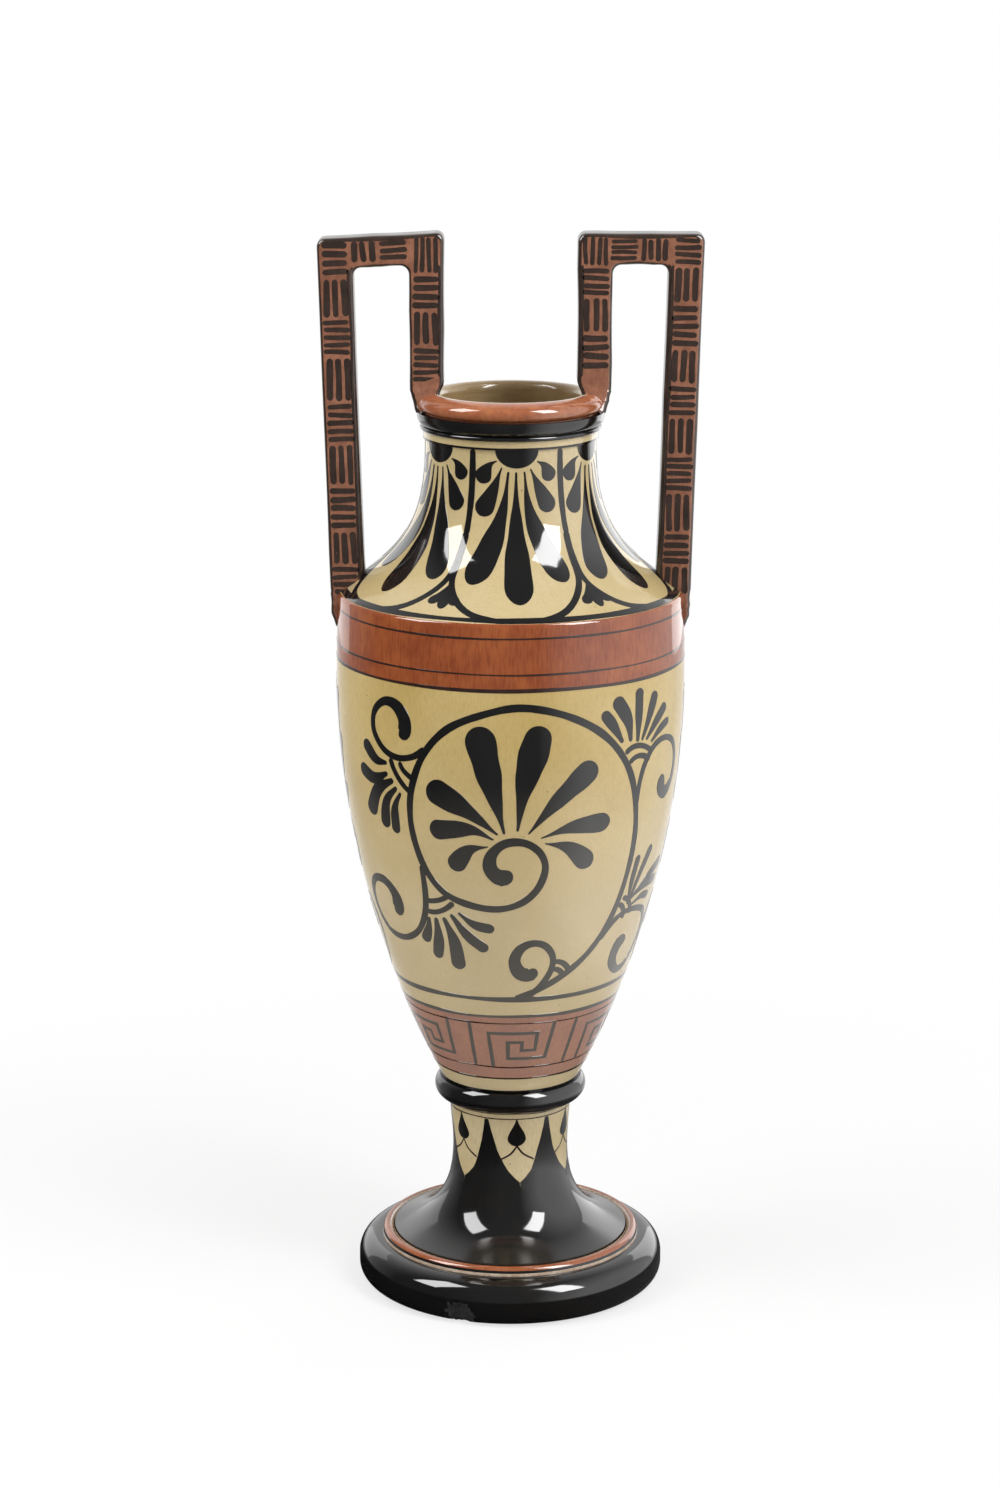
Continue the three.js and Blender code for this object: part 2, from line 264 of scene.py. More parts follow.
@dataclass(frozen=True)
class FlatFace:
    """The front or back face of a handle: a plane of constant Y, with places (x, z) in mm."""

    depth: float

    def point(self, places: Array) -> Array:
        """Gives the points of places: (x, depth, z)."""
        return np.stack([places[..., 0], np.full_like(places[..., 0], self.depth), places[..., 1]], axis=-1)

    def normal(self, places: Array) -> Array:
        """Gives the same direction everywhere: towards -Y on the front and +Y on the back."""
        out = np.zeros(places.shape[:-1] + (3,))
        out[..., 1] = math.copysign(1.0, self.depth)
        return out

    def place(self, points: Array) -> Array:
        """Drops the depth of points."""
        return points[..., [0, 2]]

    def scale(self, places: Array) -> float:
        """A unit of the first coordinate is a millimetre."""
        return 1.0


# Meshes


@dataclass
class Patch:
    """A closed mesh in millimetres, with the number of each face's finish."""

    corners: Array
    faces: list[tuple[int, ...]]
    finishes: list[int]

    @staticmethod
    def of_quads(corners: Array, quads: Array, finishes: Array | int = 0) -> "Patch":
        """Makes a patch of four-cornered faces."""
        marks = np.broadcast_to(np.asarray(finishes), len(quads))
        return Patch(corners, [tuple(q) for q in quads.tolist()], marks.tolist())

    @staticmethod
    def joined(patches: Iterable["Patch"]) -> "Patch":
        """Puts patches into one mesh without welding them."""
        corners, faces, finishes, base = [], [], [], 0
        for patch in patches:
            corners.append(patch.corners)
            faces += [tuple(i + base for i in face) for face in patch.faces]
            finishes += patch.finishes
            base += len(patch.corners)
        return Patch(np.vstack(corners), faces, finishes)


def grid_quads(rows: int, columns: int, closed: bool) -> Array:
    """Numbers the faces of a grid whose columns join up, and whose rows may.

    Args:
        rows: Rows of corners.
        columns: Corners in a row.
        closed: Whether the last row joins the first.

    Returns:
        Four corner numbers a face: along the row first, then up.
    """
    i = np.arange(rows if closed else rows - 1)[:, None]
    j = np.arange(columns)[None, :]
    up, right = (i + 1) % rows, (j + 1) % columns
    faces = [i * columns + j, i * columns + right, up * columns + right, up * columns + j]
    return np.stack(np.broadcast_arrays(*faces), axis=-1).reshape(-1, 4)


def loops_patch(corners: Array, closed: bool = False) -> Patch:
    """Joins loops of corners to a skin, with a face on each end unless the last loop joins the first.

    Args:
        corners: The loops' corners, in mm: loops, corners in a loop, three coordinates.
        closed: Whether the last loop joins the first.

    Returns:
        The closed skin.
    """
    count, loop = corners.shape[:2]
    patch = Patch.of_quads(corners.reshape(-1, 3), grid_quads(count, loop, closed)[:, [0, 3, 2, 1]])
    if not closed:
        patch.faces += [tuple(range(loop)), tuple(range(count * loop - 1, (count - 1) * loop - 1, -1))]
        patch.finishes += [0, 0]
    return patch


def turn(outline: Array, finishes: Sequence[int],
         shape: Callable[[Array, Array], Array] | None = None) -> Patch:
    """Turns a closed outline about the axis.

    The point of outline point (r, h) at angle a is (r sin a, -r cos a, h). An outline that starts and
    ends on the axis gets a single corner there at each end.

    Args:
        outline: Radius and height, walked anticlockwise.
        finishes: The finish of each stretch from a point to the next.
        shape: Optional change of the radii, worked out from the radii and heights of all corners.

    Returns:
        The closed skin.
    """
    poles = outline[0, 0] == 0 and outline[-1, 0] == 0
    body = outline[1:-1] if poles else outline
    a = np.linspace(0, 2 * np.pi, COLUMNS, endpoint=False)
    r = np.repeat(body[:, :1], COLUMNS, axis=1)
    h = np.repeat(body[:, 1:], COLUMNS, axis=1)
    if shape is not None:
        r = shape(r, h)
    corners = np.stack([r * np.sin(a), -r * np.cos(a), h], axis=-1).reshape(-1, 3)
    quads = grid_quads(len(body), COLUMNS, not poles)
    marks = np.repeat(np.asarray(finishes)[1:-1] if poles else np.asarray(finishes), COLUMNS)
    patch = Patch.of_quads(corners, quads, marks[: len(quads)])
    if poles:
        patch.corners = np.vstack([corners, [0, 0, outline[0, 1]], [0, 0, outline[-1, 1]]])
        column = np.arange(COLUMNS)
        right = (column + 1) % COLUMNS
        top = len(corners) - COLUMNS
        first = np.column_stack([np.full(COLUMNS, len(corners)), right, column])
        last = np.column_stack([np.full(COLUMNS, len(corners) + 1), top + column, top + right])
        patch.faces += map(tuple, np.hstack([first, last]).reshape(-1, 3).tolist())
        patch.finishes += [finishes[0], finishes[-2]] * COLUMNS
    return patch


SHARPEST_MITRE = 0.6        # least value of 1 + a.b in a stroke's mitre, so that sharp bends grow no spike
WIDEST_EDGE = 0.25          # greatest share of a field's width that one edge takes
STROKE_CROWN = np.array([1.0, 0.5, 0.0, -0.5, -1.0])
FIELD_CROWN = np.array([1.0, 0.88, 0.75, 0.6, 0.5, 0.4, 0.25, 0.12, 0.0])
FIELD_UNDERSIDE = np.array([0.0, 0.25, 0.5, 0.75])


def ribbon(ground: Ground, path: Array, half_widths: Array, closed: bool = False) -> Patch:
    """Lays a stroke of slip along a path on a surface.

    Across the path, the stroke reaches half its width to both sides in the tangent plane and is dropped
    back onto the surface. It stands up from it with a level crown and steep edges, so that the clear
    glaze's reflections run on over the paint. At a bend the side direction is the mitre of the two legs'
    side directions, (a + b) / (1 + a.b).

    Args:
        ground: The surface.
        path: Places on it, one row each.
        half_widths: Half width at each place, mm.
        closed: Whether the stroke runs round and meets itself.

    Returns:
        The closed stroke.
    """
    points, normals = ground.point(path), ground.normal(path)
    ahead = np.roll(points, -1, axis=0) - points
    if not closed:
        ahead[-1] = ahead[-2]
    ahead /= np.linalg.norm(ahead, axis=1, keepdims=True)
    after = np.cross(ahead, normals)
    before = np.roll(after, 1, axis=0)
    if not closed:
        before[0] = after[0]
    bend = np.maximum(1 + np.sum(before * after, axis=1, keepdims=True), SHARPEST_MITRE)
    side = (before + after) / bend
    half = half_widths[:, None]
    crown = (half - np.minimum(PAINT_EDGE, half / 2)) * STROKE_CROWN
    across = np.hstack([half, crown, -half, 0 * half])
    rise = np.array([-PAINT_SINK, *[PAINT_RISE] * len(STROKE_CROWN), -PAINT_SINK, -1.5 * PAINT_SINK])
    places = ground.place(points[:, None] + side[:, None] * across[..., None])
    return loops_patch(ground.point(places) + ground.normal(places) * rise[None, :, None], closed)


def field_patch(ground: Ground, heights: Array, left: Array, right: Array) -> Patch:
    """Fills the space between two edges with slip.

    The point at height h and share s is the surface at the angle left(h) + s (right(h) - left(h)). The
    crown is level and its edges are steep, as on a stroke; the underside lies inside the wall.

    Args:
        ground: The surface.
        heights: Height of each row, rising, mm.
        left: Angle of the left edge in each row, degrees.
        right: Angle of the right edge in each row, degrees.

    Returns:
        The closed field.
    """
    span = (right - left)[:, None]
    scale = ground.scale(np.column_stack([left, heights]))
    edge = np.minimum(PAINT_EDGE / (scale * span), WIDEST_EDGE)
    crown = edge + (1 - 2 * edge) * FIELD_CROWN
    underside = np.broadcast_to(FIELD_UNDERSIDE, (len(heights), len(FIELD_UNDERSIDE)))
    shares = np.hstack([np.ones_like(span), crown, underside])
    rise = np.array([-PAINT_SINK, *[PAINT_RISE] * len(FIELD_CROWN), *[-PAINT_SINK] * len(FIELD_UNDERSIDE)])
    angles = left[:, None] + shares * span
    places = np.stack([angles, np.repeat(heights[:, None], shares.shape[1], axis=1)], axis=-1)
    return loops_patch(ground.point(places) + ground.normal(places) * rise[None, :, None])


# Brushwork


class Touch(Enum):
    """How the brush is set down, pressed and lifted along a stroke."""

    EVEN = "even width with round ends"
    PETAL = "a fine start that swells to a full round end"
    LEAF = "a blunt start that swells to a full round end"
    HOOK = "even width that ends in a full comma"


# For each swelling touch: share of the width at the start, share of the way where the width is full
SWELL = {Touch.PETAL: (0.1, 0.84), Touch.LEAF: (0.36, 0.75)}
FINEST = 0.04               # least half width of a stroke, mm
FINE_STEP, WIDE_STEP = 0.9, 1.2     # steps along a fine and a wide stroke, mm
WIDE_STROKE = 6.0           # width from which a stroke counts as wide, mm
COMMA_SHARE = 1.25          # radius of a volute's comma, as a share of its line's width
COMMA_TAPER = 1.6           # length of the comma's rounded end, as a share of its radius
COMMA_REACH = 30.0          # length over which a volute swells to its comma, mm
PRESS_REACH = 48.0          # length over which the brush is pressed harder before the comma, mm
PRESSURE = 0.35             # how much wider the line gets there, as a share of its width


@dataclass(frozen=True)
class Mark:
    """One brush stroke: its places, its greatest width and its touch.

    A petal or leaf with a higher stem value stays fine for longer before it swells. An angular stroke
    keeps its corners.
    """

    places: tuple[Point, ...]
    width: float
    touch: Touch = Touch.EVEN
    angular: bool = False
    stem: float = 1.6

    def half_widths(self, way: Array) -> Array:
        """Works out the half width along the stroke.

        The ends are half circles. A petal's and a leaf's width grows with a power of the sine of its way,
        from a fine or a blunt start; a hook swells smoothly to its comma over the last stretch. Two slow
        waves along the way, with phases from the first place, are the hand's uneven pressure.

        Args:
            way: Length of the stroke up to each place, mm.

        Returns:
            The half width at each place, mm.
        """
        length = way[-1]
        t = way / length
        half = np.full(len(way), self.width / 2)
        start_round, end_round = half[0], half[-1]
        if self.touch in SWELL:
            start, full_at = SWELL[self.touch]
            half = half * (start + (1 - start) * np.sin(np.clip(t / full_at, 0, 1) * np.pi / 2) ** self.stem)
            start_round = half[0]
        elif self.touch is Touch.HOOK:
            pressed = np.clip(1 - (length - way) / PRESS_REACH, 0, 1)
            near = np.clip(1 - (length - way) / COMMA_REACH, 0, 1)
            comma = COMMA_SHARE * self.width
            half = half * (1 + PRESSURE * pressed)
            half = half + (comma - half) * near**2 * (3 - 2 * near)
            end_round = COMMA_TAPER * comma
        phase = self.places[0][0]
        half = half * (1 + 0.05 * np.sin(way / 5.5 + phase) + 0.03 * np.sin(way / 2.3 + 2 * phase))
        for left, reach in ((way, start_round), (length - way, end_round)):
            half = half * np.sqrt(1 - (1 - np.clip(left / max(reach, 0.1), 0, 1)) ** 2)
        return np.maximum(half, FINEST)

    def lay(self, ground: Ground, turned: float = 0.0, mirrored: bool = False) -> Patch:
        """Lays the stroke on a surface.

        Args:
            ground: The surface.
            turned: Angle added to every place, degrees.
            mirrored: Whether the stroke is turned left to right before it is moved.

        Returns:
            The closed stroke.
        """
        places = np.array(self.places, float) * [-1.0 if mirrored else 1.0, 1.0] + [turned, 0.0]
        scale = ground.scale(places)
        step = FINE_STEP if self.width < WIDE_STROKE else WIDE_STEP
        path = (angular if self.angular else flowing)(places, step, scale)
        end = COMMA_TAPER * COMMA_SHARE if self.touch is Touch.HOOK else 0.5
        path, way = round_off(path, scale, self.width * end)
        return ribbon(ground, path, self.half_widths(way))


def round_off(path: Array, scale: float, radius: float) -> tuple[Array, Array]:
    """Sets close places at both ends of a path, so that its ends can be round.

    Args:
        path: Places, one row each.
        scale: Millimetres for one unit of the first coordinate.
        radius: Half width of the stroke at its ends, mm.

    Returns:
        The path's places and its length up to each of them.
    """
    flat = path * [scale, 1.0]
    way = np.concatenate([[0], np.cumsum(np.linalg.norm(np.diff(flat, axis=0), axis=1))])
    reach = min(radius, way[-1] / 3)
    near = reach * (1 - np.cos(np.linspace(0, np.pi / 2, 8)))
    middle = way[(way > reach + 0.2) & (way < way[-1] - reach - 0.2)]
    at = np.concatenate([near, middle, way[-1] - near[::-1]])
    flat = np.column_stack([np.interp(at, way, flat[:, k]) for k in (0, 1)])
    return flat / [scale, 1.0], at


def ring_line(ground: ThrownWall, height: float, width: float, seed: int, drift: float = 0.25) -> Patch:
    """Paints a line round a wall on the wheel, with a hand's small drift and uneven pressure.

    Args:
        ground: The wall.
        height: Height of the line, mm.
        width: Its width, mm.
        seed: Number that fixes its drift.
        drift: Greatest drift up or down, mm.

    Returns:
        The closed line.
    """
    angle = np.arange(0, 360, 1.0)
    path = np.column_stack([angle, height + wobble(angle, seed, drift)])
    half = width / 2 * (1 + wobble(angle, seed + 1, 0.35))
    return ribbon(ground, path, half, closed=True)


# Finishes


def linear(code: str) -> tuple[float, float, float, float]:
    """Turns an sRGB hex colour to linear red, green, blue and alpha."""
    values = np.array([int(code[i:i + 2], 16) for i in (1, 3, 5)]) / 255
    straight = np.where(values <= 0.04045, values / 12.92, ((values + 0.055) / 1.055) ** 2.4)
    return (*straight.tolist(), 1.0)


def add(tree: Tree, kind: str, inputs: dict | None = None, **settings: object) -> bpy.types.Node:
    """Adds a node with its settings and links.

    Args:
        tree: The material's or world's node tree.
        kind: The node's type.
        inputs: Values for its sockets, by name or number; an output socket is linked.
        settings: The node's own properties.

    Returns:
        The node.
    """
    node = tree.nodes.new(kind)
    for name, value in settings.items():
        setattr(node, name, value)
    for socket, value in (inputs or {}).items():
        if isinstance(value, Socket):
            tree.links.new(value, node.inputs[socket])
        else:
            node.inputs[socket].default_value = value
    return node


def maths(tree: Tree, operation: str, a: Socket | float, b: Socket | float) -> Socket:
    """Works out an operation on two values."""
    return add(tree, "ShaderNodeMath", {0: a, 1: b}, operation=operation).outputs[0]


def ranged(tree: Tree, value: Socket, start: float, end: float,
           low: float = 0.0, high: float = 1.0) -> Socket:
    """Turns a value from the range start to end into low to high, and holds it beyond both ends."""
    return add(tree, "ShaderNodeMapRange", {
        "Value": value, "From Min": start, "From Max": end, "To Min": low, "To Max": high}).outputs[0]


def blend(tree: Tree, share: Socket, colour: Socket | tuple, other: str) -> Socket:
    """Mixes a colour with another one, given by its code, by a share from 0 to 1."""
    factor, a, b, result = 0, 6, 7, 2
    node = add(tree, "ShaderNodeMix", {factor: share, a: colour, b: linear(other)}, data_type="RGBA")
    return node.outputs[result]


def pattern(tree: Tree, place: Socket, size: Sequence[float]) -> Socket:
    """Scales the vase's own coordinates so that one unit of a pattern is a given size in mm."""
    return add(tree, "ShaderNodeMapping", {"Vector": place, "Scale": [1 / (s * MM) for s in size]}).outputs[0]


def noise(tree: Tree, place: Socket, size: Sequence[float], detail: float) -> Socket:
    """Makes soft noise of a given size in mm by X, Y and Z."""
    return add(tree, "ShaderNodeTexNoise", {
        "Vector": pattern(tree, place, size), "Scale": 1.0, "Detail": detail}).outputs[0]


def by_height(tree: Tree, place: Socket, reach: tuple[float, float, float]) -> Socket:
    """Grows from nothing at the first height to the given value at the second, heights in mm."""
    height = add(tree, "ShaderNodeSeparateXYZ", {"Vector": place}).outputs["Z"]
    return ranged(tree, height, reach[0] * MM, reach[1] * MM, 0.0, reach[2])


GLAZE_IOR = 1.8             # a lead glaze is as dense as flint glass
CLOUD_RANGE = (0.35, 0.65)  # noise values from which the second colour shows, and where it is full
STREAK_RANGE = (0.42, 0.78)     # the same for the brush's streaks
ROUGH_RANGE = (0.3, 0.7)    # noise values of the least and the greatest roughness
SHEEN_WHITE = "#e4ddd0"            # colour of the painted sheen, a milky white that stands for reflection haze


@dataclass(frozen=True)
class Glaze:
    """Clear lead-type glaze over a brushed slip.

    The eye gets a deep wet gloss, a slip colour that drifts from hue to hue in soft clouds, the streaks of
    the brush, tiny dark pinholes, and a gently rippled surface that bends the lamps' reflections. A painted
    sheen mixes milky white into the colour where the lower body shows a white reflection haze; near a dusty
    corner the glaze is dulled. Both are given as the height where they start, the height where they are
    full, and the full share or roughness.
    """

    name: str
    main: str
    drift: str
    streak: str
    cloud_mm: float = 45.0
    streak_mm: tuple[float, float, float] = (0.9, 0.9, 9.0)
    streak_share: float = 0.3
    speck: str = "#3f3122"
    speck_cell_mm: float = 7.5
    speck_mm: float = 0.38
    craze: str = "#a08e5c"
    craze_share: float = 0.0
    roughness: tuple[float, float] = (0.03, 0.07)
    ripple_mm: float = 0.022
    ripple_length_mm: float = 7.0
    painted_sheen: tuple[float, float, float] | None = None
    dulled: tuple[float, float, float] | None = None

    def material(self) -> bpy.types.Material:
        """Builds the finish as a material.

        Returns:
            The material, ready for a piece's slot.
        """
        made = bpy.data.materials.new(self.name)
        made.use_nodes = True
        tree = made.node_tree
        tree.nodes.clear()
        place = add(tree, "ShaderNodeTexCoord").outputs["Object"]
        clouds = noise(tree, place, [self.cloud_mm] * 3, 3.0)
        colour = blend(tree, ranged(tree, clouds, *CLOUD_RANGE), linear(self.main), self.drift)
        streaks = noise(tree, place, self.streak_mm, 2.0)
        streaked = ranged(tree, streaks, *STREAK_RANGE, 0.0, self.streak_share)
        colour = blend(tree, streaked, colour, self.streak)
        colour = self.specked(tree, place, colour)
        if self.craze_share:
            colour = self.crazed(tree, place, colour)
        # painted sheen: milky white mixed in by height, standing for reflection haze on the lower body
        if self.painted_sheen:
            colour = blend(tree, by_height(tree, place, self.painted_sheen), colour, SHEEN_WHITE)
        rough = ranged(tree, clouds, *ROUGH_RANGE, *self.roughness)
        if self.dulled:
            rough = maths(tree, "MAXIMUM", rough, by_height(tree, place, self.dulled))
        ripple = noise(tree, place, [self.ripple_length_mm] * 3, 1.0)
        bump = add(tree, "ShaderNodeBump", {
            "Strength": 1.0, "Distance": self.ripple_mm * MM, "Height": ripple})
        shader = add(tree, "ShaderNodeBsdfPrincipled", {
            "Base Color": colour, "Roughness": rough, "IOR": GLAZE_IOR, "Normal": bump.outputs[0]})
        add(tree, "ShaderNodeOutputMaterial", {"Surface": shader.outputs[0]})
        return made

    def specked(self, tree: Tree, place: Socket, colour: Socket) -> Socket:
        """Adds pinholes: a dot at the seed of every second Voronoi cell, picked by the cell's colour."""
        cells = add(tree, "ShaderNodeTexVoronoi", {
            "Vector": pattern(tree, place, [self.speck_cell_mm] * 3), "Scale": 1.0}).outputs
        near = self.speck_mm / self.speck_cell_mm
        dot = ranged(tree, cells["Distance"], near, near * 0.6)
        picked = maths(tree, "GREATER_THAN", cells["Color"], 0.5)
        return blend(tree, maths(tree, "MULTIPLY", dot, picked), colour, self.speck)

    def crazed(self, tree: Tree, place: Socket, colour: Socket) -> Socket:
        """Adds the glaze's faint crazing: hair lines on the borders of Voronoi cells 16 mm wide."""
        cell_mm, line_mm = 16.0, 0.12
        edge = add(tree, "ShaderNodeTexVoronoi", {
            "Vector": pattern(tree, place, [cell_mm] * 3), "Scale": 1.0}, feature="DISTANCE_TO_EDGE")
        crack = ranged(tree, edge.outputs["Distance"], line_mm / cell_mm, 0.0, 0.0, self.craze_share)
        return blend(tree, crack, colour, self.craze)


# Cream slip under clear glaze: pale straw with yellower clouds and a woven look from the brush. The
# next two are made from it
CREAM = Glaze("glazed_cream_slip", "#c8b076", "#bba05f", "#a88e54", cloud_mm=60.0,
              streak_mm=(0.8, 0.8, 3.0), streak_share=0.4, craze_share=0.25)
# The same on the body, with a painted sheen: milky white towards the foot that stands for reflection haze
SHEENED_CREAM = replace(CREAM, name="cream_slip_painted_sheen", painted_sheen=(280.0, 200.0, 0.28))
# Paler cream of the neck, the ledge and the stem
PALE_CREAM = replace(CREAM, name="pale_cream_slip", main="#ccbb95", drift="#bfaa79", streak="#ac966b")
# Red-brown slip, brushed on thin: orange where it is thin, brick red where it pooled
TERRACOTTA = Glaze("glazed_terracotta_slip", "#a0572f", "#8c4627", "#6f301b", cloud_mm=16.0,
                   streak_mm=(0.9, 0.9, 7.0), streak_share=0.7, speck="#3a1c12")
# The same on the body's red bands, with the painted sheen of the lower body, which reaches the key band
SHEENED_TERRACOTTA = replace(TERRACOTTA, name="terracotta_slip_painted_sheen", painted_sheen=(262.0, 150.0, 0.22))
# Red slip of the lip and handles, where the brush ran every way
TERRACOTTA_HANDLED = Glaze("glazed_terracotta_clay", "#9c6a52", "#845742", "#684333", cloud_mm=9.0,
                           streak_mm=(2.0, 2.0, 3.0), streak_share=0.6, speck="#3a1c12", ripple_mm=0.05)
# The same on the lip, a little redder, where the slip lay thicker
LIP_RED = replace(TERRACOTTA_HANDLED, name="glazed_lip_slip", main="#ab6a46", drift="#9c5a3c",
                  streak="#7d4733")
# Black slip under clear glaze: nearly black with a faint brown breath
BLACK = Glaze("glazed_black_slip", "#111112", "#151413", "#1b1715", cloud_mm=25.0,
              streak_share=0.3, speck="#3c3a38", roughness=(0.04, 0.1))
# The same on the flare of the stem, dulled by dust and rubbing beside the bead
DUSTY_BLACK = replace(BLACK, name="dusty_black_slip", dulled=(35.0, 29.0, 0.2))
# Black slip of the body's painting, with the painted sheen of the lower body
SHEENED_BLACK = replace(BLACK, name="black_slip_painted_sheen", painted_sheen=(262.0, 150.0, 0.15))
# Black slip of the handles, laid on thin and dried to a soft satin: its lighter brown-black is partly the red
# showing through and partly a painted sheen
SATIN_BLACK = Glaze("satin_brown_black_slip", "#32251f", "#3e2e27", "#221a17", cloud_mm=10.0,
                    streak_share=0.5, speck="#5a4438", roughness=(0.12, 0.22))
# Thin black slip, which burns brown where the fine brush ran dry
BROWN_LINE = Glaze("thin_brown_black_slip", "#3a241b", "#2a1b17", "#241611", cloud_mm=8.0)
# Orange slip on the foot's bead
ORANGE = Glaze("glazed_orange_slip", "#a4603c", "#96522f", "#6f4330", cloud_mm=12.0, streak_share=0.6,
               speck="#4a1f10")
# Pale edges of the bead and the lip's crest: partly slip worn through by hands and cloths, partly a painted
# highlight where these edges catch the light
WORN_AND_HIGHLIGHT = Glaze("worn_pale_slip_and_highlight", "#d8c8b4", "#c4aa92", "#9c7c66", cloud_mm=5.0, streak_mm=(1.0, 1.0, 1.0),
               streak_share=0.7, roughness=(0.1, 0.25))
# Scar of a knocked-off flake: dark fired clay, rough and dull, with pale grit
SCAR = Glaze("dull_flake_scar", "#1f1e1e", "#2b2a2a", "#45423f", cloud_mm=3.0, streak_mm=(0.9, 0.9, 0.9),
             streak_share=0.6, speck="#b8ab98", speck_cell_mm=4.0, roughness=(0.45, 0.7), ripple_mm=0.25,
             ripple_length_mm=1.6)
# Clear glaze straight on the buff clay inside the neck, yellower and duller than the slip
INSIDE = Glaze("glazed_buff_inside", "#a68d66", "#927853", "#745e41", cloud_mm=30.0,
               streak_mm=(12.0, 12.0, 1.5), streak_share=0.4, roughness=(0.1, 0.2))
# Bare buff earthenware where the glaze was wiped off: dry, sandy and pale
BARE = Glaze("bare_buff_earthenware", "#c9ad83", "#bd9d70", "#a98659", cloud_mm=12.0, streak_share=0.5,
             speck="#6b5236", speck_cell_mm=3.0, roughness=(0.7, 0.85), ripple_mm=0.06, ripple_length_mm=1.2)

FINISHES = (SHEENED_CREAM, PALE_CREAM, TERRACOTTA, SHEENED_TERRACOTTA, TERRACOTTA_HANDLED, LIP_RED, BLACK,
            DUSTY_BLACK, SHEENED_BLACK, SATIN_BLACK, BROWN_LINE, ORANGE, WORN_AND_HIGHLIGHT, SCAR, INSIDE, BARE)


@dataclass
class Bench:
    """Where finished pieces are put down: it makes their objects and gives them their finishes."""

    materials: dict[str, bpy.types.Material] = field(default_factory=dict)

    def mix(self) -> None:
        """Prepares every finish once."""
        self.materials = {glaze.name: glaze.material() for glaze in FINISHES}

    def put(self, name: str, patch: Patch, finishes: Sequence[Glaze],
            nodes: Sequence[str] = ()) -> None:
        """Makes a piece's object and ties it to the construction.

        Args:
            name: The piece's name.
            patch: Its closed mesh, in mm.
            finishes: Its finishes, in the order that the patch numbers them.
            nodes: The construction's nodes that it stands for.
        """
        mesh = bpy.data.meshes.new(name)
        mesh.from_pydata(np.zeros((len(patch.corners), 3)).tolist(), [], patch.faces)
        mesh.vertices.foreach_set("co", (patch.corners * MM).astype(np.float32).ravel())
        mesh.polygons.foreach_set("material_index", np.array(patch.finishes, np.int32))
        mesh.polygons.foreach_set("use_smooth", np.ones(len(patch.faces), bool))
        mesh.set_sharp_from_angle(angle=SHARP_EDGE)
        for glaze in finishes:
            mesh.materials.append(self.materials[glaze.name])
        mesh.update()
        piece = bpy.data.objects.new(name, mesh)
        bpy.context.scene.collection.objects.link(piece)
        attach(piece, "root")
        if nodes:
            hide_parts(*nodes)
        log.info("%s: %d corners, %d faces", name, len(patch.corners), len(patch.faces))


@dataclass(frozen=True)
class Stretch:
    """A stretch of a section's outline with the number of its finish."""

    points: Array
    finish: int


def outline_of(stretches: Sequence[Stretch]) -> tuple[Array, list[int]]:
    """Joins stretches head to tail.

    Each stretch gives its finish to the steps that start at its points.

    Args:
        stretches: The stretches, walked anticlockwise.

    Returns:
        The outline's points and the finish of each step.
    """
    points, finishes = [], []
    for stretch in stretches:
        for point in stretch.points:
            if points and np.linalg.norm(point - points[-1]) < 0.02:
                finishes[-1] = stretch.finish
                continue
            points.append(point)
            finishes.append(stretch.finish)
    return np.array(points), finishes


def between(points: Array, low: float, high: float) -> Array:
    """Cuts a rising outline to a range of heights, with exact ends."""
    ends = np.array([[np.interp(z, points[:, 1], points[:, 0]), z] for z in (low, high)])
    inside = points[(points[:, 1] > low + 0.05) & (points[:, 1] < high - 0.05)]
    return np.vstack([ends[:1], inside, ends[1:]])


# The thrown sections


